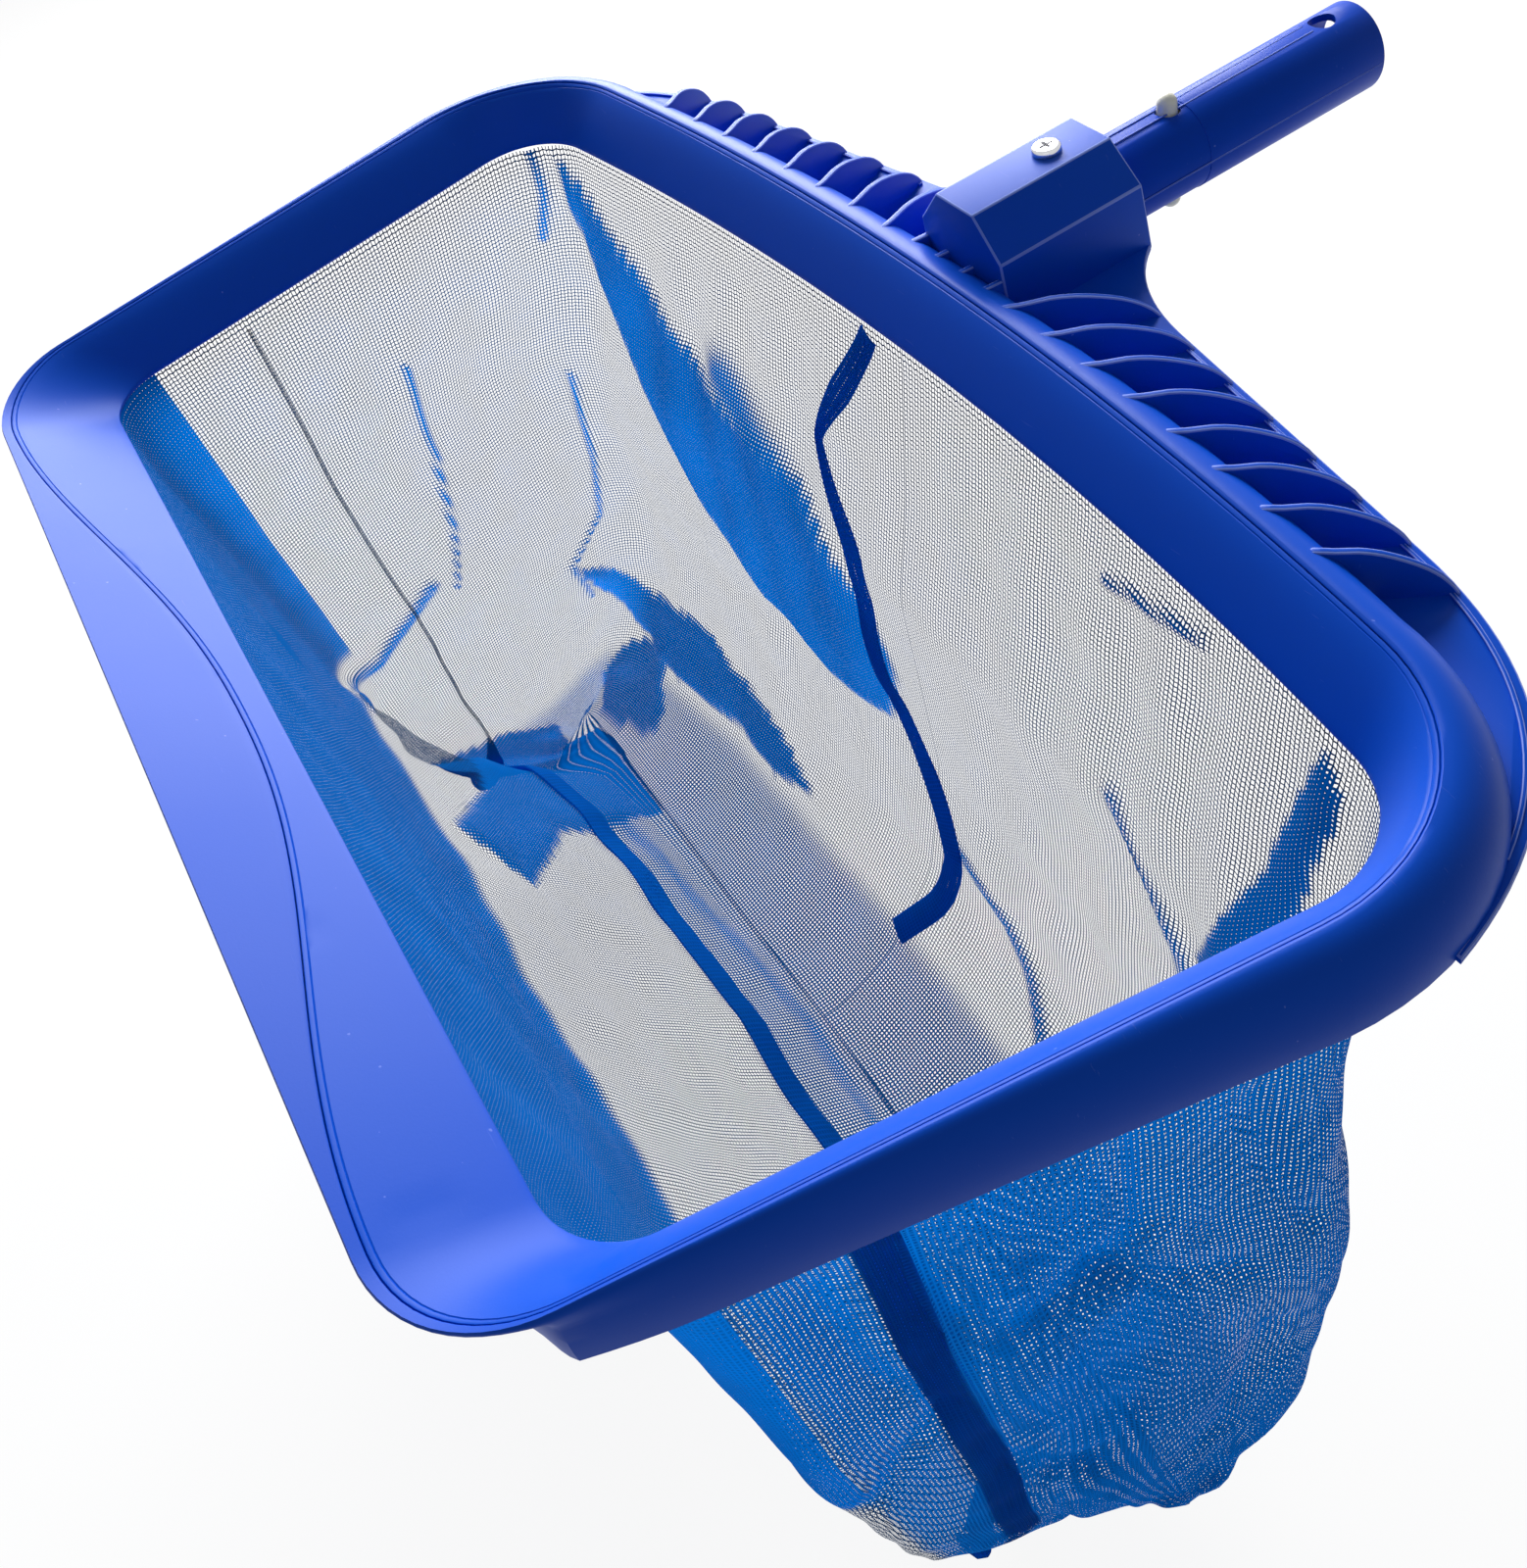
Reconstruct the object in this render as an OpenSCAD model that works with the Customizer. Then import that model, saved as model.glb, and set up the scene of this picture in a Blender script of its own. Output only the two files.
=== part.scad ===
/* [Mouth] */
// Half length of the mouth along the scoop lip
mouth_half = 201.7; // [170:0.1:260]
// Depth of the mouth from the lip side to the handle side
mouth_depth = 215.3; // [180:0.1:260]
// Angle by which each short side spreads towards the handle
splay = 8.64; // [0:0.1:12]
// Bow of the handle side over 200 mm from the middle
back_bow = 13.8; // [4:0.1:25]
// Corner radius of the mouth beside the lip
front_corner = 23; // [15:0.5:35]
// Corner radius of the mouth beside the handle
back_corner = 28.7; // [18:0.5:40]

/* [Rim] */
// Height of the crest above the net edge
crest_rise = 19.6; // [14:0.1:26]
// Distance from the net edge out to the crest
crest_reach = 15.6; // [12:0.1:20]
// Distance that the rolled outer wall stands out from the crest
wall_reach = 16; // [9:0.5:20]
// Distance from the net edge out to the scoop edge
lip_reach = 34.9; // [28:0.1:45]
// Height of the scoop edge above the net edge
lip_rise = 17.3; // [12:0.1:22]
// Thickness of the scoop edge
lip_edge = 2; // [1.2:0.1:3]
// Thickness of the outer frame's walls
shell_t = 2.4; // [1.6:0.1:3.2]
// Thickness of the clamp ring
ring_t = 2; // [1.4:0.1:2.6]
// Space for the net hem between the ring and the outer frame
hem_gap = 0.7; // [0.5:0.1:1.2]
// Space over and under the net hem
hem_fit = 0.15; // [0.1:0.05:0.2]
// Width of the ring joint at the middle of the lip
seam_mid = 8.3; // [6:0.1:14]
// Width of the ring joint at the ends of the lip
seam_end = 32; // [24:0.1:34]
// Open line between the ring and the outer frame
seam_gap = 0.3; // [0.2:0.05:0.6]

/* [Flange and fins] */
// Thickness of the flange plate
flange_t = 2; // [1.5:0.1:3]
// Distance from the back of the mouth to the flange edge near the socket
flange_reach = 60; // [50:0.5:72]
// Slope of the straight flange edge
flange_slope = 0.165; // [0.1:0.005:0.22]
// Height of the line bead along the flange edge
bead_h = 0.8; // [0.4:0.1:1.5]
// Fins on each side of the socket
fin_count = 8; // [4:1:9]
// Distance of the first fin's root from the middle
fin_first = 31.4; // [28:0.1:40]
// Spacing of the fin roots
fin_pitch = 18.9; // [15:0.1:20]
// Thickness of a fin
fin_t = 2; // [1.2:0.1:3]
// How much further out each fin's tip lies than its root
fin_fan = 18.6; // [6:0.1:22]

/* [Socket] */
// Length of the socket
socket_len = 54.6; // [45:0.1:70]
// Distance from the back of the mouth to the rear of the socket
socket_setback = 81.5; // [70:0.5:100]
// Half width of the socket's top facet
socket_top_half = 9.2; // [6:0.1:12]
// Wall of the socket beside the tube
socket_side = 6.05; // [4:0.05:9]
// Wall of the socket above the tube
socket_over = 7.65; // [5:0.05:11]
// Height of the shoulders above the handle axis
socket_shoulder = 9.5; // [6:0.1:12]
// Wall of the socket below the tube
socket_under = 2.75; // [2:0.05:5]

/* [Handle] */
// Outer diameter of the handle tube
tube_d = 28.5; // [25:0.1:32]
// Wall of the handle tube
tube_wall = 2.2; // [1.6:0.1:3]
// Length of the tube outside the socket
tube_out = 98; // [90:0.5:130]
// Length of the tube held inside the socket
tube_in = 46; // [38:0.5:60]
// Height of the handle axis above the net edge
axis_drop = 13.4; // [12:0.1:17]
// Diameter of the cross-drilled holes
hole_d = 8.4; // [7:0.1:9]
// Distance from the open end to the spare holes
spare_hole_y = 12.8; // [9:0.1:16]
// Distance from the open end to the button holes
button_hole_y = 73.8; // [70:0.1:80]
// Length of the full diameter that a pole bears on, from the open end
bearing_len = 69; // [60:0.5:72]
// How much slimmer in radius the tube is beyond that length
tube_relief = 0.25; // [0.1:0.05:0.4]
// Radial clearance of the tube in its socket
tube_fit = 0.1; // [0.05:0.01:0.15]

/* [Screw] */
// Head diameter of the handle screw
screw_head_d = 9; // [7:0.1:11]
// Shank diameter of the handle screw
screw_d = 4.2; // [3:0.1:5]
// Length of the shank under the head
screw_len = 16; // [12:0.5:20]
// Distance from the screw to the socket's rear face
screw_inset = 20.5; // [12:0.1:26]

/* [Spring clip] */
// Diameter of each button
button_d = 6.4; // [5:0.1:7]
// Height of each button above the tube
button_out = 4.8; // [3:0.1:5.2]
// Thickness of the clip's legs
leg_t = 2; // [1.5:0.1:2.6]
// Width of the clip
leg_w = 8; // [6:0.1:10]
// Half distance between the legs at the bend
bend_half = 4.5; // [3.5:0.1:5.5]
// Distance from the buttons to the bend
leg_len = 50; // [44:0.5:52]
// Running clearance of the legs in the bend
leg_fit = 0.05; // [0.02:0.01:0.1]

/* [Net] */
// Full depth of the bag
bag_depth = 312; // [260:1:360]
// Thickness of a net panel
net_t = 1.2; // [0.8:0.1:2]
// Share by which the bag spreads below the mouth
bag_flare = 0.07; // [0:0.01:0.1]
// Distance of the side seams from the lip side of the mouth
side_seam_y = 57; // [40:1:80]
// Depth of the long seam along the bottom
bottom_seam_z = 290; // [240:1:300]
// Width of the seam bands
band_w = 12; // [8:0.5:16]
// Thickness of the seam bands
band_t = 1; // [0.6:0.1:1.5]
// Height at which the seam bands stand off the net panels
band_lift = 1.8; // [1:0.1:3]

/* [Hidden] */
plastic = [0.10, 0.22, 0.78];
net_blue = [0.05, 0.38, 0.78];
ivory = [0.93, 0.92, 0.86];

tube_r = tube_d / 2;
slim_r = tube_r - tube_relief;
socket_half = tube_r + socket_side;
socket_top = tube_r + socket_over;
socket_floor = tube_r + socket_under;
// The net edge's plane and the lip side of the mouth, seen from the open end of the handle
socket_back_y = -tube_out;
socket_front_y = socket_back_y - socket_len;
mouth_y = socket_back_y - socket_setback - mouth_depth;
neck_end = mouth_depth + socket_setback - 0.5;
net_z = -axis_drop;
tan_splay = tan(splay);
bow_r = (200 * 200 + back_bow * back_bow) / (2 * back_bow);

function mix(a, b, k) = a + (b - a) * k;
function clamp01(v) = min(1, max(0, v));
function smooth(a, b, v) = let (k = clamp01((v - a) / (b - a))) k * k * (3 - 2 * k);

// A plan curve round the mouth, at a distance from the net edge on its front, sides and back.
// t runs 0..1 along the lip, 1..2 round its corner, 2..3 along the side, 3..4 round the back
// corner and 4..5 along the back to the middle.
function front_end(f, s, r) =
    let (turn = 90 - splay) mouth_half + s / cos(splay) - f * tan_splay - r * tan(turn / 2);
function back_centre(s, b, r) =
    let (x0 = mouth_half + (s - r) / cos(splay), yo = mouth_depth - bow_r, big = bow_r + b - r,
        qa = 1 + tan_splay * tan_splay, qb = 2 * (x0 * tan_splay - yo),
        qc = x0 * x0 + yo * yo - big * big, y = (-qb + sqrt(qb * qb - 4 * qa * qc)) / (2 * qa))
    [x0 + tan_splay * y, y];
function plan(f, s, b, rf, rb, t) =
    let (xf = front_end(f, s, rf), c = back_centre(s, b, rb), yo = mouth_depth - bow_r,
        cf = [xf, rf - f], nx = [cos(splay), -sin(splay)], top = atan2(c[1] - yo, c[0]))
    t <= 1 ? [xf * t, -f]
    : t <= 2 ? cf + rf * [cos(mix(-90, -splay, t - 1)), sin(mix(-90, -splay, t - 1))]
    : t <= 3 ? mix(cf + rf * nx, c + rb * nx, t - 2)
    : t <= 4 ? c + rb * [cos(mix(-splay, top, t - 3)), sin(mix(-splay, top, t - 3))]
    : [0, yo] + (bow_r + b) * [cos(mix(top, 90, t - 4)), sin(mix(top, 90, t - 4))];

// How much rounder the crest and the rolled wall are than the net edge, at the lip and at the back
crest_round = [13, 26];
wall_round = [16, 45];
function net_edge(t) = plan(0, 0, 0, front_corner, back_corner, t);
function crest_edge(t) = plan(lip_reach, crest_reach, crest_reach, front_corner + crest_round[0],
    back_corner + crest_round[1], t);
function wall_edge(t) = plan(lip_reach, crest_reach + wall_reach * mix(0.8, 1, clamp01(t - 2)),
    crest_reach + wall_reach, front_corner + wall_round[0], back_corner + wall_round[1], t);
function side_share(t) = smooth(1, 2, t);
function wall_share(t) = smooth(1.25, 1.85, t);
function rise(t) = mix(lip_rise, crest_rise, side_share(t));

// Height of the rim's top face at a share q of the way from the net edge to the crest
function top_z(t, q) = rise(t) * mix(q, 0.35 * q + 0.65 * sin(90 * q), side_share(t));
function top_dz(t, q) = (top_z(t, q + 0.01) - top_z(t, q - 0.01)) / 0.02;
// A point at a depth under the top face, as [distance out, height]
function under(t, q, depth) =
    let (w = norm(crest_edge(t) - net_edge(t)), dz = top_dz(t, q), m = norm([w, dz]))
    [q * w + depth * dz / m, top_z(t, q) - depth * w / m];
// Share of the way out at which the ring meets the outer frame
function seam_share(t) =
    let (x = net_edge(t)[0] / front_end(0, 0, front_corner),
        lip = mix(seam_mid, seam_end, (1 - cos(180 * clamp01(pow(x, 1.12)))) / 2) / lip_reach)
    t <= 1 ? lip : mix(seam_end / lip_reach, 0.93, side_share(t));

// A station's section point placed in the frame
function placed(t, side, p) =
    let (a = net_edge(t), d = (crest_edge(t) - a) / norm(crest_edge(t) - a))
    [side * (a[0] + d[0] * p[0]), a[1] + d[1] * p[0], p[1]];
function steps(n) = [for (i = [0 : n - 1]) i / n];
half_loop = concat([for (k = steps(9)) k], [for (k = steps(8)) 1 + k], [for (k = steps(5)) 2 + k],
    [for (k = steps(8)) 3 + k], [for (k = steps(8)) 4 + k], [5]);
half_n = len(half_loop);
// Once round the mouth: each entry is [t, side]
loop = concat([for (t = half_loop) [t, 1]],
    [for (i = [half_n - 2 : -1 : 1]) [half_loop[i], -1]]);

// A closed loft of equal sections round the mouth
module ring_loft(sections) {
    n = len(sections);
    m = len(sections[0]);
    polyhedron(
        points = [for (s = sections) each s],
        faces = [for (i = [0 : n - 1], j = [0 : m - 1])
            let (k = (i + 1) % n, l = (j + 1) % m)
            each [[i * m + j, k * m + l, i * m + l], [i * m + j, k * m + j, k * m + l]]],
        convexity = 8);
}

module in_frame() {
    translate([0, mouth_y, net_z]) children();
}

// Shares of the way out that the ring, the hem and the seat under them all step through
seat_steps = 12;
function seat_q(t, i) = seam_share(t) * i / seat_steps;

// Outer frame's section: top face, rolled wall, inside of the wall, underside, hem seat
function shell_section(t) =
    let (w = norm(crest_edge(t) - net_edge(t)), q0 = seam_share(t) + seam_gap / w,
        k = wall_share(t), h = rise(t), reach = max(0, norm(wall_edge(t) - net_edge(t)) - w) * k,
        foot = mix(h - lip_edge, 0, k), seat = ring_t + hem_gap)
    concat(
        [for (i = [0 : 4]) under(t, mix(q0, 1, i / 4), 0)],
        [for (a = [15 : 15 : 90])
            [w + reach * sin(a), mix(mix(h, h - lip_edge, a / 90), h * cos(a), k)]],
        [for (a = [90 : -25 : 15])
            let (low = under(t, 1 - 0.02 - 0.06 * (90 - a) / 75, shell_t))
            mix(low, [w + (reach - shell_t) * sin(a), (h - shell_t) * cos(a)], k)],
        [for (i = [0 : 6])
            let (q = mix(mix(0.9, 0.97, k), 0.16, i / 6),
                thin = smooth(q0, q0 + 0.2, q) * (1 - k))
            under(t, q, mix(seat + shell_t, shell_t, thin))],
        [for (i = [2 : seat_steps - 1]) under(t, seat_q(t, i), seat)], [under(t, q0, seat)]);

function ring_section(t) =
    let (q1 = seam_share(t))
    concat([for (i = [0 : seat_steps]) under(t, q1 * i / seat_steps, 0)],
        [for (i = [seat_steps : -1 : 0]) under(t, q1 * i / seat_steps, ring_t)]);

function hem_section(t) =
    let (low = ring_t + hem_fit, high = ring_t + hem_gap - hem_fit, last = 8)
    concat([for (i = [1 : last]) under(t, seat_q(t, i), low)],
        [for (i = [last : -1 : 1]) under(t, seat_q(t, i), high)]);

module rim_loft(kind) {
    ring_loft([for (e = loop)
        [for (p = kind == "shell" ? shell_section(e[0]) : kind == "ring" ? ring_section(e[0])
            : hem_section(e[0])) placed(e[0], e[1], p)]]);
}

// Flange outline: socket neck, straight edge, round corner that runs into the side wall
neck_y = mouth_depth + flange_reach;
socket_gap = socket_half + 0.2;
side_meet_t = 3.25;
side_meet = wall_edge(side_meet_t);
edge_end = [mouth_half * 0.84, neck_y - 1.5 - (mouth_half * 0.84 - 60) * flange_slope];
function bezier(a, b, c, k) = mix(mix(a, b, k), mix(b, c, k), k);
function corner_pt(k, inset) =
    let (c = [side_meet[0] - 15, edge_end[1] - (side_meet[0] - 15 - edge_end[0]) * flange_slope],
        p = bezier(edge_end, c, side_meet, k),
        d = bezier(edge_end, c, side_meet, k + 0.01) - bezier(edge_end, c, side_meet, k - 0.01))
    p + inset * [d[1], -d[0]] / norm(d);
function neck_pt(k) = bezier([socket_gap, neck_end], [33, neck_y + 3.5], [60, neck_y - 1.5], k);
function inside_wall(t) =
    let (p = wall_edge(t), d = p - net_edge(t)) p - 1.4 * d / norm(d);
function edge_y(x) = neck_y - 1.5 - (x - 60) * flange_slope;

module flange() {
    outline = concat([[0, neck_end]], [for (i = [0 : 8]) neck_pt(i / 8)],
        [for (i = [0 : 16]) corner_pt(i / 16, 0)],
        [for (i = [0 : 20]) inside_wall(mix(side_meet_t, 5, i / 20))]);
    for (m = [0, 1]) mirror([m, 0, 0]) {
        linear_extrude(flange_t) polygon(outline);
        linear_extrude(flange_t + bead_h)
            polygon(concat([for (i = [1 : 12]) corner_pt(i / 16, 2.4)],
                [for (i = [12 : -1 : 1]) corner_pt(i / 16, 3.6)]));
    }
}

// Side shape of a fin: share of its length against share of its height
fin_shape = [[0, 0.97], [0.14, 0.93], [0.3, 0.91], [0.46, 0.84], [0.62, 0.71], [0.76, 0.56],
    [0.86, 0.41], [0.94, 0.24], [1, 0.06]];
module fin(root, tip) {
    span = norm(tip - root);
    translate([root[0], root[1], 0]) rotate([0, 0, atan2(tip[1] - root[1], tip[0] - root[0])])
        rotate([90, 0, 0]) translate([0, 0, -fin_t / 2]) linear_extrude(fin_t)
            polygon(concat([[-2.5, crest_rise * 0.9]],
                [for (p = fin_shape) [p[0] * span, p[1] * crest_rise]],
                [[span, 0.2], [4, 0.2], [4, crest_rise * 0.6], [-2.5, crest_rise * 0.85]]));
}
fin_fan_step = 0.35;
fin_setback = 3.4;
module fins() {
    for (m = [0, 1], i = [0 : fin_count - 1]) mirror([m, 0, 0]) {
        x = fin_first + i * fin_pitch;
        tip_x = x + fin_fan + i * fin_fan_step;
        y = mouth_depth + crest_reach + fin_setback - back_bow * 0.9 * pow(x / 200, 2);
        tip_y = tip_x < 60 ? neck_y + 1 : tip_x < edge_end[0] ? edge_y(tip_x) : corner_pt(0.12, 0)[1];
        fin([x, y], [tip_x, tip_y]);
    }
}

// Short webs between the rolled wall and the front of the socket
web_pitch = 12.6;
web_len = flange_reach - 32 - crest_reach;
module front_webs() {
    for (i = [-1.5 : 1 : 1.5])
        translate([i * web_pitch - fin_t / 2, mouth_depth + crest_reach, 1])
            rotate([90, 0, 90]) linear_extrude(fin_t)
                polygon([[1, crest_rise - 2.2], [web_len, crest_rise - 3], [web_len, 0], [6, 0],
                    [4, 0.6 * crest_rise]]);
}

// Stiffening webs under the lip
lip_web_at = [0.446 * mouth_half, 0.876 * mouth_half];
lip_web_len = lip_reach / 2;
lip_web_start = 4;
// Height of a web's top, inside the seat's wall or inside the thin edge beyond the ring
function lip_web_top(x, d) =
    let (q = 1 - (lip_web_start + d) / lip_reach,
        share = seam_share(x / front_end(0, 0, front_corner)))
    q * lip_rise - (q < share + 0.05 ? ring_t + hem_gap + shell_t * 0.55 : shell_t * 0.75);
module lip_webs() {
    for (m = [0, 1], x = lip_web_at) mirror([m, 0, 0])
        translate([x - fin_t / 2, lip_web_start - lip_reach, 0])
            rotate([90, 0, 90]) linear_extrude(fin_t)
                polygon(concat([for (k = [0 : 8]) [k / 8 * lip_web_len,
                    lip_web_top(x, k / 8 * lip_web_len)]],
                    [[lip_web_len, lip_rise - 17], [lip_web_start, lip_rise - 10.5]]));
}

nose_half = 3.6;
module socket_body() {
    top = socket_top;
    base = net_z + 0.5;
    half_low = socket_half + 0.4;
    hull() {
        translate([-socket_top_half, socket_front_y, top - 1])
            cube([2 * socket_top_half, socket_len - 4, 1]);
        translate([-socket_half, socket_front_y + 0.4, socket_shoulder - 1])
            cube([2 * socket_half, socket_len - 2.7, 1]);
        translate([-half_low, socket_front_y + 1.5, base])
            cube([2 * half_low, socket_len - 1.5, 1]);
        translate([-socket_half + 5, socket_front_y + 4, -socket_floor])
            cube([2 * socket_half - 10, socket_len - 5, 1]);
        translate([-nose_half, socket_front_y - 1, -3]) cube([2 * nose_half, 1, 3]);
    }
}

module outer_frame() {
    color(plastic) difference() {
        union() {
            in_frame() {
                rim_loft("shell");
                flange();
                fins();
                front_webs();
                lip_webs();
            }
            socket_body();
        }
        translate([0, socket_back_y - tube_in, 0]) rotate([-90, 0, 0])
            cylinder(r = slim_r + tube_fit, h = tube_in + 20, $fn = 96);
        translate([0, screw_y, 0]) cylinder(r = screw_d / 2 + 0.05, h = 60, $fn = 48);
    }
}

module clamp_ring() {
    color(plastic) in_frame() rim_loft("ring");
}

module net_hem() {
    color(net_blue) in_frame() rim_loft("hem");
}

// Bag: front and back lines of the bag at each depth, as shares of the full depth
bag_low_y = 112;
bag_front_line = [[0, 0], [0.26, 8], [0.53, 15], [0.74, 46], [0.93, 82], [1, bag_low_y - 8],
    [1.03, bag_low_y]];
bag_end_line = [[0, 0], [0.26, 4], [0.53, 8], [0.8, 14], [0.88, 21], [0.94, 36], [1, 78],
    [1.03, bag_low_y]];
bag_back_line = [[0, 0], [0.19, 10], [0.32, 20], [0.64, 20], [0.83, 35], [0.96, 65],
    [1, mouth_depth - bag_low_y - 9], [1.03, mouth_depth - bag_low_y - 0.8]];
bag_rows = [0, 0.07, 0.19, 0.32, 0.44, 0.53, 0.64, 0.74, 0.83, 0.9, 0.93, 0.97, 1, 1.03];
seam_row = 10;
lip_cols = 6;
bag_cols = 5;
function bag_pt(t, side, v) =
    let (p = plan(1.2, 1.2, 1.2, front_corner + 1, back_corner + 1, t),
        k = clamp01(p[1] / mouth_depth),
        y0 = mix(lookup(v, bag_front_line), lookup(v, bag_end_line), smooth(0.5, 1.9, t)),
        y1 = mouth_depth - lookup(v, bag_back_line), spread = 1 + bag_flare * smooth(0, 0.5, v),
        rounded = 1 - 0.02 * smooth(0.85, 1, v))
    [side * p[0] * spread * rounded, p[1] + mix(y0, y1 - mouth_depth, k),
        -2.4 - (bag_depth - 2.4) * min(1, v)];
function bag_inward(t, side, v) =
    let (e = 0.02, a = bag_pt(min(5, t + e), side, v) - bag_pt(max(0, t - e), side, v),
        b = bag_pt(t, side, min(1.03, v + e)) - bag_pt(t, side, max(0, v - e)),
        c = cross(a, b) * side)
    c / norm(c);
function bag_in(t, side, v) = bag_pt(t, side, v) + net_t * bag_inward(t, side, v);

bag_half = concat([for (k = steps(lip_cols)) k], [for (m = [1, 2, 3], k = steps(bag_cols)) m + k],
    [for (k = steps(lip_cols)) 4 + k], [5]);
bag_half_n = len(bag_half);
bag_loop = concat([for (t = bag_half) [t, 1]],
    [for (i = [bag_half_n - 2 : -1 : 1]) [bag_half[i], -1]]);
bag_n = len(bag_loop);
bag_m = len(bag_rows);

// Columns up to this one belong to the front panel
side_seam_t = 2 + (side_seam_y - net_edge(2)[1]) / (net_edge(3)[1] - net_edge(2)[1]);
seam_col = lip_cols + bag_cols + round((side_seam_t - 2) * bag_cols);
function is_front(i, j) = j < seam_row && (i < seam_col || i >= bag_n - seam_col);
function is_right(i) = i < bag_half_n - 1;
function in_panel(kind, i, j) =
    i < 0 || j < 0 || j >= bag_m - 1 ? false
    : kind == "front" ? is_front(i, j)
    : kind == "right" ? !is_front(i, j) && is_right(i)
    : !is_front(i, j) && !is_right(i);

module net_panel(kind) {
    outside = [for (j = [0 : bag_m - 1], i = [0 : bag_n - 1])
        bag_pt(bag_loop[i][0], bag_loop[i][1], bag_rows[j])];
    inside = [for (j = [0 : bag_m - 1], i = [0 : bag_n - 1])
        bag_in(bag_loop[i][0], bag_loop[i][1], bag_rows[j])];
    total = bag_n * bag_m;
    cells = [for (i = [0 : bag_n - 1], j = [0 : bag_m - 2]) if (in_panel(kind, i, j)) [i, j]];
    // Outer face, inner face and a wall along each edge that no neighbour shares
    faces = [for (c = cells)
        let (i = c[0], j = c[1], k = (i + 1) % bag_n, h = (i + bag_n - 1) % bag_n,
            a = j * bag_n + i, b = j * bag_n + k, e = (j + 1) * bag_n + k, d = (j + 1) * bag_n + i)
        each concat(
            [[a, b, e], [a, e, d], [a + total, e + total, b + total], [a + total, d + total, e + total]],
            in_panel(kind, i, j - 1) ? [] : [[a, a + total, b + total], [a, b + total, b]],
            in_panel(kind, i, j + 1) ? [] : [[d, e, e + total], [d, e + total, d + total]],
            in_panel(kind, k, j) ? [] : [[b, b + total, e + total], [b, e + total, e]],
            in_panel(kind, h, j) ? [] : [[a, d, d + total], [a, d + total, a + total]])];
    color(net_blue) in_frame() polyhedron(points = concat(outside, inside), faces = faces,
        convexity = 8);
}

module net_front_panel() {
    net_panel("front");
}
module net_back_left_panel() {
    net_panel("left");
}
module net_back_right_panel() {
    net_panel("right");
}

// Seam bands: strips that lie on the bag's inner face, along a path of [t, side, v]
module band(path) {
    n = len(path);
    place = [for (p = path) bag_pt(p[0], p[1], p[2]) + (net_t + band_lift) * bag_inward(p[0], p[1], p[2])];
    points = [for (i = [0 : n - 1])
        let (up = bag_inward(path[i][0], path[i][1], path[i][2]),
            along = place[min(n - 1, i + 1)] - place[max(0, i - 1)],
            c = cross(up, along), share = len(path[i]) > 3 ? path[i][3] : 1,
            w = c / norm(c) * band_w / 2 * share)
        each [place[i] - w, place[i] + w, place[i] + w + up * band_t, place[i] - w + up * band_t]];
    color(net_blue * 0.6) in_frame() polyhedron(points = points,
        faces = concat([[0, 1, 2], [0, 2, 3]],
            [for (i = [0 : n - 2], j = [0 : 3]) let (a = i * 4 + j, b = i * 4 + (j + 1) % 4)
                each [[a, a + 4, b], [b, a + 4, b + 4]]],
            [[4 * n - 2, 4 * n - 3, 4 * n - 4], [4 * n - 1, 4 * n - 2, 4 * n - 4]]), convexity = 6);
}

bottom_v = bottom_seam_z / bag_depth;
corner_share = 0.45;
module long_seam_band() {
    // The band narrows where it turns the bag's lower corners
    side_path = [for (v = [0.1 : 0.1 : 0.75]) [side_seam_t, v, 1]];
    turn = [[side_seam_t, 0.8, 0.8], [side_seam_t, bottom_v - 0.04, corner_share],
        [2.15, bottom_v - 0.01, corner_share], [2.05, bottom_v, corner_share],
        [1.9, bottom_v, corner_share], [1.8, bottom_v, corner_share]];
    low_path = [for (t = [1.6, 1.4, 1.2, 1, 0.8, 0.6, 0.4, 0.2]) [t, bottom_v, 1]];
    right = concat(side_path, turn, low_path);
    n = len(right);
    band(concat([for (p = right) [p[0], 1, p[1], p[2]]], [[0, 1, bottom_v]],
        [for (i = [n - 1 : -1 : 0]) [right[i][0], -1, right[i][1], right[i][2]]]));
}

module back_seam_band() {
    band([[4.86, -1, 0.06], [4.78, -1, 0.13], [4.75, -1, 0.19], [4.8, -1, 0.25], [4.86, -1, 0.31],
        [4.88, -1, 0.42], [4.89, -1, 0.52], [4.93, -1, 0.6], [4.97, -1, 0.65], [4.97, 1, 0.7],
        [4.93, 1, 0.76], [4.93, 1, 0.82], [4.95, 1, 0.88]]);
}

// Handle
screw_y = socket_back_y - screw_inset;
bore_r = tube_r - tube_wall;
module handle_tube() {
    color(plastic) difference() {
        union() {
            translate([0, -bearing_len, 0]) rotate([-90, 0, 0])
                cylinder(r = tube_r, h = bearing_len, $fn = 96);
            translate([0, socket_back_y - tube_in + 0.5, 0]) rotate([-90, 0, 0])
                cylinder(r = slim_r, h = tube_in + tube_out - bearing_len, $fn = 96);
        }
        translate([0, socket_back_y - tube_in, 0]) rotate([-90, 0, 0])
            cylinder(r = bore_r, h = tube_in + tube_out + 5, $fn = 96);
        for (y = [spare_hole_y, button_hole_y])
            translate([0, -y, -tube_d]) cylinder(r = hole_d / 2, h = 2 * tube_d, $fn = 64);
        translate([0, screw_y, 0]) cylinder(r = screw_d / 2 + 0.05, h = tube_d, $fn = 48);
    }
}

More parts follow.
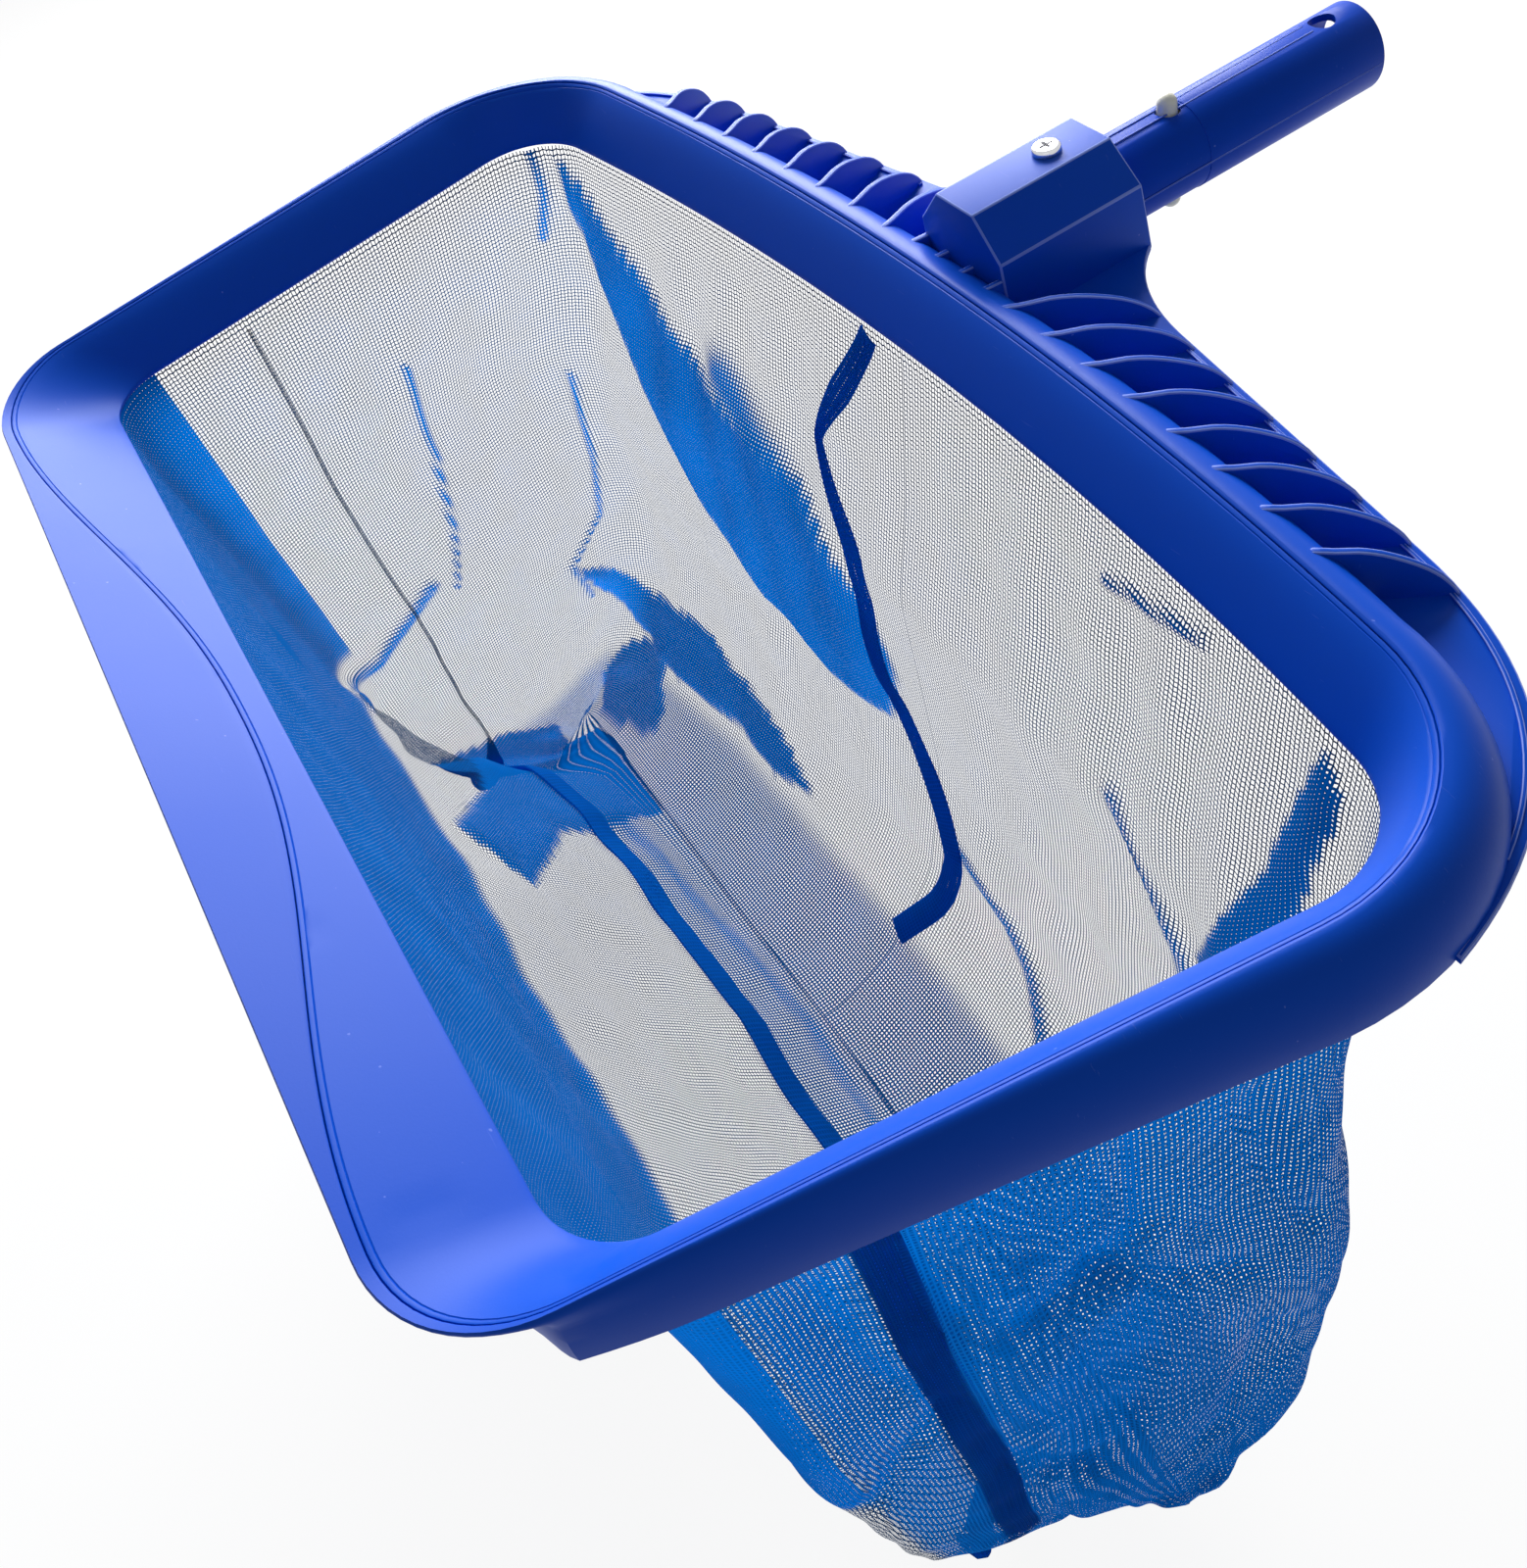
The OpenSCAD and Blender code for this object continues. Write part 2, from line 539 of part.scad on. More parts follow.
module handle_screw() {
    color("silver") translate([0, screw_y, socket_top]) difference() {
        union() {
            rotate_extrude($fn = 64) polygon(concat([[0, 0.05], [screw_head_d / 2, 0.05]],
                [for (a = [0 : 15 : 90]) [screw_head_d / 2 - 1.2 + 1.2 * cos(a), 1.2 + 1.2 * sin(a)]],
                [[0, 2.4]]));
            translate([0, 0, -screw_len]) cylinder(r = screw_d / 2, h = screw_len + 1, $fn = 48);
        }
        for (a = [0, 90]) rotate([0, 0, a]) translate([-2.4, -0.5, 1]) cube([4.8, 1, 3]);
    }
}

// Spring clip, with its bend towards the open end of the handle
hinge_y = -button_hole_y + leg_len;
button_top = tube_r + button_out;
leg_seat = bore_r - 1.5;
module clip_leg() {
    tip_y = -button_hole_y - 6;
    root_y = -button_hole_y + 5;
    color(ivory) {
        translate([-leg_w / 2, 0, 0]) rotate([90, 0, 90]) linear_extrude(leg_w)
            polygon([[hinge_y, bend_half - leg_t / 2], [hinge_y, bend_half + leg_t / 2],
                [root_y, leg_seat], [tip_y, leg_seat], [tip_y, leg_seat - leg_t],
                [root_y, leg_seat - leg_t]]);
        translate([-leg_w / 2, hinge_y, bend_half]) rotate([0, 90, 0])
            cylinder(r = leg_t / 2, h = leg_w, $fn = 48);
        translate([0, -button_hole_y, leg_seat - 1])
            cylinder(r = button_d / 2, h = button_top - leg_seat + 1 - button_d / 2, $fn = 64);
        translate([0, -button_hole_y, button_top - button_d / 2])
            sphere(r = button_d / 2, $fn = 64);
    }
}
module clip_bend() {
    seat_r = leg_t / 2 + leg_fit;
    color(ivory) difference() {
        translate([-leg_w / 2, hinge_y, 0]) rotate([90, 0, 90]) linear_extrude(leg_w)
            difference() {
                circle(r = bend_half + leg_t / 2, $fn = 96);
                circle(r = bend_half - leg_t / 2, $fn = 96);
                translate([-20, -20]) square([20.3, 40]);
            }
        for (s = [-1, 1]) translate([-leg_w, hinge_y, s * bend_half]) rotate([0, 90, 0])
            cylinder(r = seat_r, h = 2 * leg_w, $fn = 48);
    }
}
module clip_upper_leg() {
    clip_leg();
}
module clip_lower_leg() {
    mirror([0, 0, 1]) clip_leg();
}

outer_frame();
clamp_ring();
net_hem();
net_front_panel();
net_back_left_panel();
net_back_right_panel();
long_seam_band();
back_seam_band();
handle_tube();
handle_screw();
clip_bend();
clip_upper_leg();
clip_lower_leg();
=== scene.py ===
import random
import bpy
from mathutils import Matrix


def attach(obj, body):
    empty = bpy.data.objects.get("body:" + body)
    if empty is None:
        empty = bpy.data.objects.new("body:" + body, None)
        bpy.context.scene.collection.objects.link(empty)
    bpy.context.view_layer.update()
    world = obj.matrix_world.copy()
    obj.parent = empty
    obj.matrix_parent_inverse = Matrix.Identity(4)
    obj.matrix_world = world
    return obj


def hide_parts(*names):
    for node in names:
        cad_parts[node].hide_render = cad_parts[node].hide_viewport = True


bl_info = {
    "name": "Leaf skimmer net",
    "version": (1, 0, 0),
    "blender": (4, 5, 0),
    "location": "3D View > Sidebar > Skimmer",
    "description": "Builds the frame, net bag and handle of a leaf skimmer round its packed frame",
    "category": "Object",
}

from functools import partial
from math import atan2, cos, pi, radians, sin, sqrt, tan

import bmesh
import bpy
import numpy as np
from mathutils import Vector

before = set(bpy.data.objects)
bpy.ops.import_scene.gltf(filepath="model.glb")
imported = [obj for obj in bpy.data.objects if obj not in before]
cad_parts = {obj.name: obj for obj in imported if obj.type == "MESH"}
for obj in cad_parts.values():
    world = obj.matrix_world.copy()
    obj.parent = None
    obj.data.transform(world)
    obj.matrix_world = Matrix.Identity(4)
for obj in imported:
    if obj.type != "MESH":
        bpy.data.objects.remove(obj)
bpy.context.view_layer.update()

# Middle of the lip's net edge, from the open end of the handle, in millimetres
MOUTH = np.array([0.0, -394.8, -13.4])
MM = 0.001


def mix(a, b, k):
    return a + (b - a) * k


def clamp01(v):
    return min(1.0, max(0.0, v))


def ease(a, b, v):
    k = np.clip((v - a) / (b - a), 0, 1)
    return k * k * (3 - 2 * k)


def own_keys(settings):
    return [key for key in settings.bl_rna.properties.keys() if key not in ("rna_type", "name")]


# ---- settings


def length(name, text, value):
    return bpy.props.FloatProperty(
        name=name, description=text, default=value * MM, unit="LENGTH", precision=4
    )


def colour(name, text, value):
    return bpy.props.FloatVectorProperty(
        name=name, description=text, default=value, size=3, subtype="COLOR", min=0.0, max=1.0
    )


def power(name, text, value):
    return bpy.props.FloatProperty(name=name, description=text, default=value, unit="POWER")


class SkimmerRimSettings(bpy.types.PropertyGroup):
    mouth_half: length("Mouth half length", "Half length of the mouth along the lip", 201.7)
    mouth_depth: length("Mouth depth", "Depth of the mouth from lip to handle side", 215.3)
    splay: bpy.props.FloatProperty(
        name="Splay", description="Angle by which each short side spreads",
        default=radians(8.64), subtype="ANGLE")
    back_bow: length("Back bow", "Bow of the handle side over 200 mm", 13.8)
    front_corner: length("Front corner", "Corner radius beside the lip", 23.0)
    back_corner: length("Back corner", "Corner radius beside the handle", 28.7)
    crest_rise: length("Crest rise", "Height of the crest over the net edge", 19.6)
    crest_reach: length("Crest reach", "Distance from net edge to crest", 15.6)
    wall_reach: length("Wall reach", "Distance from crest to rolled wall", 16.0)
    lip_reach: length("Lip reach", "Distance from net edge to scoop edge", 34.9)
    lip_rise: length("Lip rise", "Height of the scoop edge", 17.3)
    shell: length("Shell", "Wall of the outer frame", 2.4)
    ring: length("Ring", "Thickness of the clamp ring", 2.0)
    hem_gap: length("Hem gap", "Space for the net hem", 0.7)
    joint: length("Joint", "Open line between ring and frame", 0.2)


class SkimmerNetSettings(bpy.types.PropertyGroup):
    depth: length("Bag depth", "Full depth of the net bag", 299.0)
    pitch: length("Mesh pitch", "Spacing of the net's threads", 1.6)
    thread: length("Thread", "Width of one thread", 0.42)
    band: length("Band width", "Width of the seam bands", 12.0)
    wrinkle: length("Wrinkle", "Height of the bag's soft wrinkles", 3.0)


class SkimmerFinishSettings(bpy.types.PropertyGroup):
    frame_blue: colour("Frame blue", "Colour of the moulded frame", (0.001, 0.065, 0.50))
    ring_blue: colour("Ring blue", "Colour of the clamp ring", (0.001, 0.070, 0.52))
    tube_blue: colour("Tube blue", "Colour of the handle tube", (0.001, 0.05, 0.44))
    # Painted shade and light: single threads take the dark colour of their shadow side, gathered
    # net the lit azure
    net_shadow_side_blue: colour("Thread shade", "Colour of single net threads", (0.006, 0.04, 0.105))
    net_lit_azure: colour("Net azure", "Colour of gathered net", (0.0, 0.135, 0.52))
    ivory: colour("Ivory", "Colour of the spring clip", (0.80, 0.78, 0.66))
    steel: colour("Steel", "Colour of the screw", (0.62, 0.62, 0.64))


class SkimmerStageSettings(bpy.types.PropertyGroup):
    key_power: power("Key light", "Power of the large soft light", 58.0)
    fill_power: power("Fill light", "Power of the weaker light", 0.8)
    floor_drop: length("Floor drop", "Height of the handle's axis over the floor", 335.0)


# ---- rim shape


class Rim:
    """Plan curves and sections of the rim in millimetres, from the middle of the lip's net edge."""

    crest_round = (13.0, 26.0)
    wall_round = (16.0, 45.0)
    bow_span = 200.0
    lip_edge = 2.0
    seam_mid = 8.3
    seam_end = 32.0
    seam_side = 0.93
    seam_curve = 1.12
    groove_in = 1.35
    wall_setback = 11.0
    hem_fit = 0.15
    # Faint sink marks over the webs under the lip: places along it, depth and width
    sink_at = (0.446, 0.876)
    sink_deep = 0.16
    sink_wide = 3.2

    def __init__(self, s):
        for key in own_keys(s):
            setattr(self, key, getattr(s, key) / MM)
        self.splay = s.splay
        self.slope = tan(self.splay)
        self.bow_r = (self.bow_span**2 + self.back_bow**2) / (2 * self.back_bow)

    def front_end(self, f, s, r):
        turn = pi / 2 - self.splay
        return self.mouth_half + s / cos(self.splay) - f * self.slope - r * tan(turn / 2)

    def plan(self, f, s, b, rf, rb, t):
        """A curve round the mouth: t is 0 to 1 on the lip, 2 after its corner, 3 on the side,
        4 after the back corner and 5 in the middle of the back."""
        a = self.splay
        xf = self.front_end(f, s, rf)
        x0 = self.mouth_half + (s - rb) / cos(a)
        yo = self.mouth_depth - self.bow_r
        big = self.bow_r + b - rb
        qa = 1 + self.slope**2
        qb = 2 * (x0 * self.slope - yo)
        qc = x0 * x0 + yo * yo - big * big
        y = (-qb + sqrt(qb * qb - 4 * qa * qc)) / (2 * qa)
        c = np.array([x0 + self.slope * y, y])
        cf = np.array([xf, rf - f])
        nx = np.array([cos(a), -sin(a)])
        top = atan2(c[1] - yo, c[0])
        if t <= 1:
            return np.array([xf * t, -f])
        if t <= 2:
            turn = mix(-pi / 2, -a, t - 1)
            return cf + rf * np.array([cos(turn), sin(turn)])
        if t <= 3:
            return mix(cf + rf * nx, c + rb * nx, t - 2)
        if t <= 4:
            turn = mix(-a, top, t - 3)
            return c + rb * np.array([cos(turn), sin(turn)])
        turn = mix(top, pi / 2, t - 4)
        return np.array([0.0, yo]) + (self.bow_r + b) * np.array([cos(turn), sin(turn)])

    def net_edge(self, t):
        return self.plan(0, 0, 0, self.front_corner, self.back_corner, t)

    def crest_edge(self, t):
        return self.plan(self.lip_reach, self.crest_reach, self.crest_reach,
                         self.front_corner + self.crest_round[0],
                         self.back_corner + self.crest_round[1], t)

    def wall_edge(self, t):
        out = self.crest_reach + self.wall_reach
        return self.plan(self.lip_reach,
                         self.crest_reach + self.wall_reach * mix(0.8, 1, clamp01(t - 2)), out,
                         self.front_corner + self.wall_round[0],
                         self.back_corner + self.wall_round[1], t)


class Station:
    """One section place on the rim."""

    def __init__(self, rim, t):
        self.rim = rim
        self.edge = rim.net_edge(t)
        out = rim.crest_edge(t) - self.edge
        self.width = float(np.linalg.norm(out))
        self.out = out / self.width
        self.side = ease(1, 2, t)
        self.wall = ease(1.5, 2.2, t)
        self.foot = ease(1.15, 1.45, t)
        self.height = mix(rim.lip_rise, rim.crest_rise, self.side)
        span = float(np.linalg.norm(rim.wall_edge(t) - self.edge))
        self.reach = max(0.0, span - self.width)
        x = self.edge[0] / rim.front_end(0, 0, rim.front_corner)
        turn = pi * clamp01(abs(x) ** rim.seam_curve)
        lip = mix(rim.seam_mid, rim.seam_end, (1 - cos(turn)) / 2) / rim.lip_reach
        away = [abs(self.edge[0]) - k * rim.mouth_half for k in rim.sink_at]
        self.sink = rim.sink_deep * (t < 1) * sum(
            np.exp(-((d / rim.sink_wide) ** 2)) for d in away)
        self.seam = lip if t <= 1 else mix(rim.seam_end / rim.lip_reach, rim.seam_side, self.side)

    def top_z(self, q):
        return self.height * mix(q, 0.35 * q + 0.65 * sin(pi / 2 * q), self.side)

    def under(self, q, depth):
        """A point at a depth under the top face, as (distance out, height)."""
        dz = (self.top_z(q + 0.01) - self.top_z(q - 0.01)) / 0.02
        m = sqrt(self.width**2 + dz**2)
        return (q * self.width + depth * dz / m, self.top_z(q) - depth * self.width / m)

    def place(self, p, side):
        return (side * (self.edge[0] + self.out[0] * p[0]), self.edge[1] + self.out[1] * p[0], p[1])

    def shell_section(self):
        rim, w, k, h = self.rim, self.width, self.wall, self.height
        q0 = self.seam + rim.joint / w
        seat = rim.ring + rim.hem_gap
        points = [self.under(q0, 0.35), self.under(q0 + 0.12 / w, 0.1)]
        points += [self.under(mix(q0 + 0.4 / w, 1, i / 11), 0) for i in range(12)]
        # Outside: a rolled wall, or a thin lip with the wall's end set back under it
        back = [(w + 0.5, h - 0.7), (w + 0.4, h - 1.5), (w - 0.2, h - rim.lip_edge)]
        back += [self.under(1 - d / w, rim.shell) for d in (3, 6, 9, 12)]
        floor = mix(back[-1][1], 0, self.foot)
        back += [(w - rim.wall_setback, mix(back[6][1], floor, i / 8)) for i in range(1, 9)]
        for i, low in enumerate(back):
            turn = radians(6 * (i + 1))
            wall = (w + self.reach * sin(turn), h * cos(turn))
            points.append((mix(low[0], wall[0], k), mix(low[1], wall[1], k)))
        foot = mix(w - rim.wall_setback, w + self.reach, k)
        low = mix(floor, -0.45, self.foot)
        thin = rim.shell * self.foot
        points += [(foot - 0.2 * thin, low), (foot - thin, low)]
        for a in range(90, 14, -15):
            turn = radians(a)
            wall = (w + (self.reach - rim.shell) * sin(turn), (h - rim.shell) * cos(turn))
            inner = (w - rim.wall_setback - thin, mix(floor, back[6][1], (90 - a) / 75))
            points.append((mix(inner[0], wall[0], k), mix(inner[1], wall[1], k)))
        for i in range(7):
            q = mix(mix(1 - (rim.wall_setback + thin + 0.5) / w, 0.97, k), 0.16, i / 6)
            slim = ease(q0, q0 + 0.2, q) * (1 - k)
            points.append(self.under(q, mix(seat + rim.shell, rim.shell, slim)))
        points += [self.under(mix(0.17, q0, i / 7), seat) for i in range(8)]
        return points

    def ring_section(self):
        rim, w, q1 = self.rim, self.width, self.seam
        groove = q1 - rim.groove_in / w
        points = [self.under(0.0, 1.2), self.under(0.0, 0.5), self.under(0.25 / w, 0.12)]
        for i in range(14):
            q = mix(0.8 / w, groove - 0.25 / w, i / 13)
            points.append(self.under(q, self.sink * ease(0.3, 0.45, q) * ease(0.8, 0.7, q)))
        points += [self.under(groove, 0.22), self.under(groove + 0.25 / w, 0)]
        points += [self.under(q1 - 0.4 / w, 0), self.under(q1 - 0.12 / w, 0.1),
                   self.under(q1, 0.35)]
        points += [self.under(q1 * (1 - i / 9), rim.ring) for i in range(10)]
        return points

    def hem_section(self):
        rim = self.rim
        low, high = rim.ring + rim.hem_fit, rim.ring + rim.hem_gap - rim.hem_fit
        share = [self.seam * i / 12 for i in range(1, 9)]
        return [self.under(q, low) for q in share] + [self.under(q, high) for q in share[::-1]]


def rim_loop():
    """Once round the mouth as (t, side)."""
    counts = (52, 14, 22, 18, 34)
    half = [m + k / n for m, n in enumerate(counts) for k in range(n)] + [5.0]
    return [(t, 1) for t in half] + [(t, -1) for t in half[-2:0:-1]]


# ---- bag shape

# The bag's last depth, a little past its full depth of 1, and how far in its front and end
# lines are there. Each line is (depth, distance in), in millimetres across.
BAG_END = 1.03
BAG_LOW = 116.0
FRONT_LINE = ((0, 0), (0.26, 8), (0.53, 15), (0.74, 46), (0.93, 82), (1, BAG_LOW - 8),
              (BAG_END, BAG_LOW))
END_LINE = ((0, 0), (0.26, 4), (0.53, 8), (0.8, 14), (0.88, 21), (0.94, 36), (1, 78),
            (BAG_END, BAG_LOW))
BACK_LINE = ((0, 0), (0.19, 10), (0.32, 20), (0.64, 20), (0.83, 35), (0.96, 65), (1, 94.3),
             (BAG_END, 102.5))
SIDE_SEAM = 2.25
LOW_SEAM = 0.93


def bag_line(line, v):
    """A bag line read at depth v, with its corners rounded a little."""
    x, y = np.array(line, float).T
    spread = (-0.02, -0.01, 0.0, 0.01, 0.02)
    parts = [np.interp(np.clip(v + d * (v < 1.0), 0, BAG_END), x, y) for d in spread]
    return sum(parts) / len(parts)


# Folds in the cloth: outline on the bag as (place round it, depth), gather, then lift and soft
# edge in millimetres. The gather thickens the threads and paints light on them.
PATCHES = (
    ([(-3.62, 0.0), (-3.7, 0.09), (-4.0, 0.19), (-4.12, 0.3), (-4.22, 0.43), (-4.32, 0.52),
      (-4.43, 0.61), (-4.64, 0.66), (-4.87, 0.62), (-4.93, 0.5), (-4.89, 0.42), (-4.8, 0.34),
      (-4.7, 0.27), (-4.49, 0.24), (-4.3, 0.19), (-4.15, 0.12), (-4.0, 0.05)], 1.0, 3.0, 7.0),
    ([(-2.89, 0.7), (-3.2, 0.75), (-3.68, 0.81), (-4.17, 0.79), (-4.26, 0.82), (-4.45, 0.84),
      (-4.63, 0.88), (-4.5, 0.9), (-4.35, 0.89), (-4.1, 0.9), (-3.6, 0.87), (-3.0, 0.78)],
     0.95, 3.5, 2.0),
    ([(-0.52, 0.6), (-0.8, 0.75), (-1.6, 0.84), (-2.3, 0.9), (-2.54, 0.95), (-2.4, 1.03),
      (-0.8, 1.03), (-0.69, 0.85), (-0.39, 0.7)], 0.95, 3.0, 1.5),
    ([(-4.05, 0.86), (-4.06, 0.93), (-4.1, 0.98), (-3.6, 1.0), (-3.0, 0.95), (-3.5, 0.9)],
     0.9, 3.0, 1.5),
    ([(4.05, 0.02), (4.12, 0.2), (4.27, 0.43), (4.16, 0.42), (4.06, 0.22), (4.0, 0.05)],
     0.95, 2.5, 1.2),
    ([(2.36, 0.47), (2.56, 0.4), (2.67, 0.37), (2.72, 0.46), (2.6, 0.7), (2.5, 0.79),
      (2.36, 0.74)], 0.75, 3.0, 8.0),
)
# Narrow folds: path, gather, then lift and half width in millimetres; the gather also paints light
RIDGES = (
    ([(-2.6, 0.19), (-2.6, 0.36), (-2.53, 0.5), (-2.44, 0.58)], 0.7, 2.5, 1.3),
    ([(-3.48, 0.36), (-3.39, 0.52), (-3.18, 0.64), (-2.89, 0.7), (-2.96, 0.78)], 0.65, 3.0, 1.5),
    ([(-2.36, 0.55), (-2.05, 0.61), (-1.5, 0.6), (-0.93, 0.57)], 0.9, 3.0, 2.6),
    ([(-3.45, 0.0), (-3.5, 0.06), (-3.42, 0.12)], 0.6, 2.0, 2.0),
    ([(4.92, 0.74), (4.76, 0.77), (4.62, 0.85), (4.5, 0.93)], 0.85, 2.5, 2.6),
    ([(4.48, 0.06), (4.38, 0.045), (4.28, 0.03)], 0.6, 2.0, 1.8),
    ([(4.44, 0.3), (4.3, 0.45), (4.28, 0.6)], 0.6, 2.5, 3.0),
    ([(2.91, 0.19), (2.95, 0.28), (3.06, 0.38)], 0.7, 2.5, 3.0),
    ([(2.69, 0.15), (2.69, 0.28), (2.62, 0.32), (2.42, 0.33)], 0.85, 3.0, 5.0),
    ([(2.28, 0.17), (2.31, 0.24), (2.33, 0.29)], 0.8, 2.5, 4.5),
    ([(2.14, 0.17), (2.15, 0.3), (2.23, 0.43), (2.28, 0.6), (2.41, 0.75), (2.52, 0.78)],
     0.85, 3.5, 6.0),
    ([(2.22, 0.42), (2.09, 0.48), (1.95, 0.56)], 0.85, 3.0, 4.0),
    ([(2.39, 0.79), (2.36, 0.9), (2.3, 1.0)], 0.8, 2.5, 3.5),
    ([(2.92, 0.6), (2.88, 0.74), (2.8, 0.88)], 0.7, 3.0, 5.0),
    ([(2.6, 0.31), (2.72, 0.37), (2.87, 0.41)], 0.7, 2.5, 3.5),
    ([(-4.44, 0.2), (-4.59, 0.27), (-4.73, 0.36), (-4.84, 0.5)], 0.8, 3.0, 9.0),
    ([(-1.3, 0.95), (0.0, 1.0), (1.3, 0.97)], 0.6, 2.5, 7.0),
)


class Bag:
    """The net bag's surface in millimetres, and how gathered its cloth is."""

    rim_drop = 2.4
    flare = 0.07
    slack = 1.03
    wave_count = 22
    wave_size = 170.0
    seed = 11
    drape_width = 7.0

    def __init__(self, rim, s):
        self.rim = rim
        self.depth = s.depth / MM
        self.wrinkle = s.wrinkle / MM
        self.ts = np.linspace(0, 5, 1001)
        edge = np.array([rim.plan(1.2, 1.2, 1.2, rim.front_corner + 1, rim.back_corner + 1, t)
                         for t in self.ts])
        self.px, self.py = edge.T
        steps = np.linalg.norm(np.diff(edge, axis=0), axis=1)
        self.arc = np.concatenate(([0.0], np.cumsum(steps)))
        # Length of cloth from the rim down, along the front and the back
        self.vs = np.linspace(-0.02, BAG_END, 211)
        drop = np.diff(self.depth * np.minimum(1, self.vs))
        self.down = [np.concatenate(([0.0], np.cumsum(np.hypot(drop, np.diff(
            bag_line(line, self.vs)))))) for line in (FRONT_LINE, BACK_LINE)]
        rng = random.Random(self.seed)
        self.waves = []
        for n in range(self.wave_count):
            size = self.wave_size / (1 + 0.28 * n)
            turn = rng.uniform(0, pi)
            self.waves.append((cos(turn) / size, sin(turn) / size, rng.uniform(0, 2 * pi),
                               1.0 / (1 + 0.33 * n)))
        self.patches, self.ridges = (
            [(self.flat(np.array(path)), *rest) for path, *rest in table]
            for table in (PATCHES, RIDGES))

    def flat(self, uv):
        """Places on the bag as flat millimetres."""
        uv = np.asarray(uv, float)
        t = abs(uv[..., 0])
        u = np.sign(uv[..., 0]) * np.interp(t, self.ts, self.arc) * self.slack
        k = np.clip(np.interp(t, self.ts, self.py) / self.rim.mouth_depth, 0, 1)
        front, back = (np.interp(uv[..., 1], self.vs, down) for down in self.down)
        return np.stack([u, mix(front, back, k)], axis=-1)

    def base(self, u, v):
        t = abs(u)
        x = np.interp(t, self.ts, self.px)
        y = np.interp(t, self.ts, self.py)
        depth = self.rim.mouth_depth
        k = np.clip(y / depth, 0, 1)
        y0 = mix(bag_line(FRONT_LINE, v), bag_line(END_LINE, v), ease(0.5, 1.9, t))
        y1 = depth - bag_line(BACK_LINE, v)
        x = x * (1 + self.flare * ease(0, 0.5, v)) * (1 - 0.02 * ease(0.85, 1, v))
        z = -self.rim_drop - (self.depth - self.rim_drop) * np.minimum(1, v)
        z = z + 1.3 * ease(0.012, 0, v) - 0.7 * ease(1, BAG_END, v) * (k < 0.5)
        return np.stack([np.where(u < 0, -x, x), y + mix(y0, y1 - depth, k), z], axis=-1)

    def inward(self, u, v):
        e = 0.02
        side = np.where(u < 0, -1.0, 1.0)
        t = abs(u)
        t1, t0 = np.minimum(5, t + e), np.maximum(1e-6, t - e)
        a = self.base(side * t1, v) - self.base(side * t0, v)
        b = self.base(u, np.minimum(BAG_END, v + e)) - self.base(u, np.maximum(0, v - e))
        c = np.cross(a, b) * side[..., None]
        return c / np.maximum(1e-9, np.linalg.norm(c, axis=-1, keepdims=True))

    def folds(self, u, v):
        """(inward lift in millimetres, gather from 0 to 1, which thickens threads and paints light)
        of the cloth.
        """
        p = self.flat(np.stack([u, v], axis=-1))
        free = ease(0.0, 0.12, v)
        lift = np.zeros_like(u)
        for fx, fy, phase, size in self.waves:
            lift += size * np.sin(2 * pi * (p[..., 0] * fx + p[..., 1] * fy) + phase)
        lift = lift * self.wrinkle * 0.3 * free * (0.45 + 0.8 * v)
        # Soft vertical gathers that start at the rim
        drape = np.sin(p[..., 0] / self.drape_width + 2 * np.sin(p[..., 0] / 41.0))
        lift += 0.8 * drape * free * ease(1, 0.2, v)
        gather_and_light = np.zeros_like(u)
        grain = 0.5 + 0.5 * np.sin(p[..., 0] * 0.9 + 3 * np.sin(p[..., 1] * 0.021))
        for path, amount, high, soft in self.patches:
            inside = distance_into(path, p)
            edge = ease(-0.6, soft * (0.4 + 0.9 * grain), inside)
            gather_and_light = np.maximum(gather_and_light, amount * edge)
            lift += high * ease(-3, 6, inside)
        for path, amount, high, wide in self.ridges:
            away = distance_to(path, p)
            shape = np.exp(-((away / wide) ** 2))
            gather_and_light = np.maximum(gather_and_light, amount * shape)
            lift += high * np.exp(-((away / (wide * 1.6)) ** 2))
        return lift, gather_and_light

    def surface(self, u, v, off=0.0):
        u, v = np.asarray(u, float), np.asarray(v, float)
        lift, gather_and_light = self.folds(u, v)
        # The panels meet along the middle of the back and the middle of the bottom
        lift = lift * ease(5, 4.75, abs(u)) * ease(BAG_END, 0.985, v)
        n = self.inward(u, v)
        return self.base(u, v) + n * (lift + off)[..., None], n, gather_and_light


def distance_to(path, p):
    """Distance from each point to an open path."""
    best = np.full(p.shape[:-1], 1e9)
    for a, b in zip(path[:-1], path[1:]):
        ab = b - a
        k = np.clip(((p - a) @ ab) / max(1e-9, ab @ ab), 0, 1)
        best = np.minimum(best, np.linalg.norm(p - a - k[..., None] * ab, axis=-1))
    return best


def distance_into(path, p):
    """Distance from each point to a closed outline, positive inside it."""
    loop = np.vstack([path, path[:1]])
    away = distance_to(loop, p)
    inside = np.zeros(p.shape[:-1], bool)
    for a, b in zip(loop[:-1], loop[1:]):
        crosses = (a[1] > p[..., 1]) != (b[1] > p[..., 1])
        rise = b[1] - a[1] if abs(b[1] - a[1]) > 1e-9 else 1e-9
        inside ^= crosses & (p[..., 0] < (b[0] - a[0]) * (p[..., 1] - a[1]) / rise + a[0])
    return np.where(inside, away, -away)


# ---- mesh helpers


def grid(bm, columns, rows, place):
    """A grid whose corner (i, j) is moved to place(i, j). Returns {vertex: (i, j)}."""
    made = bmesh.ops.create_grid(bm, x_segments=columns, y_segments=rows, size=0.5)
    where = {}
    for v in made["verts"]:
        i, j = round((v.co.x + 0.5) * columns), round((v.co.y + 0.5) * rows)
        where[v] = (i, j)
        v.co = place(i, j)
    return where


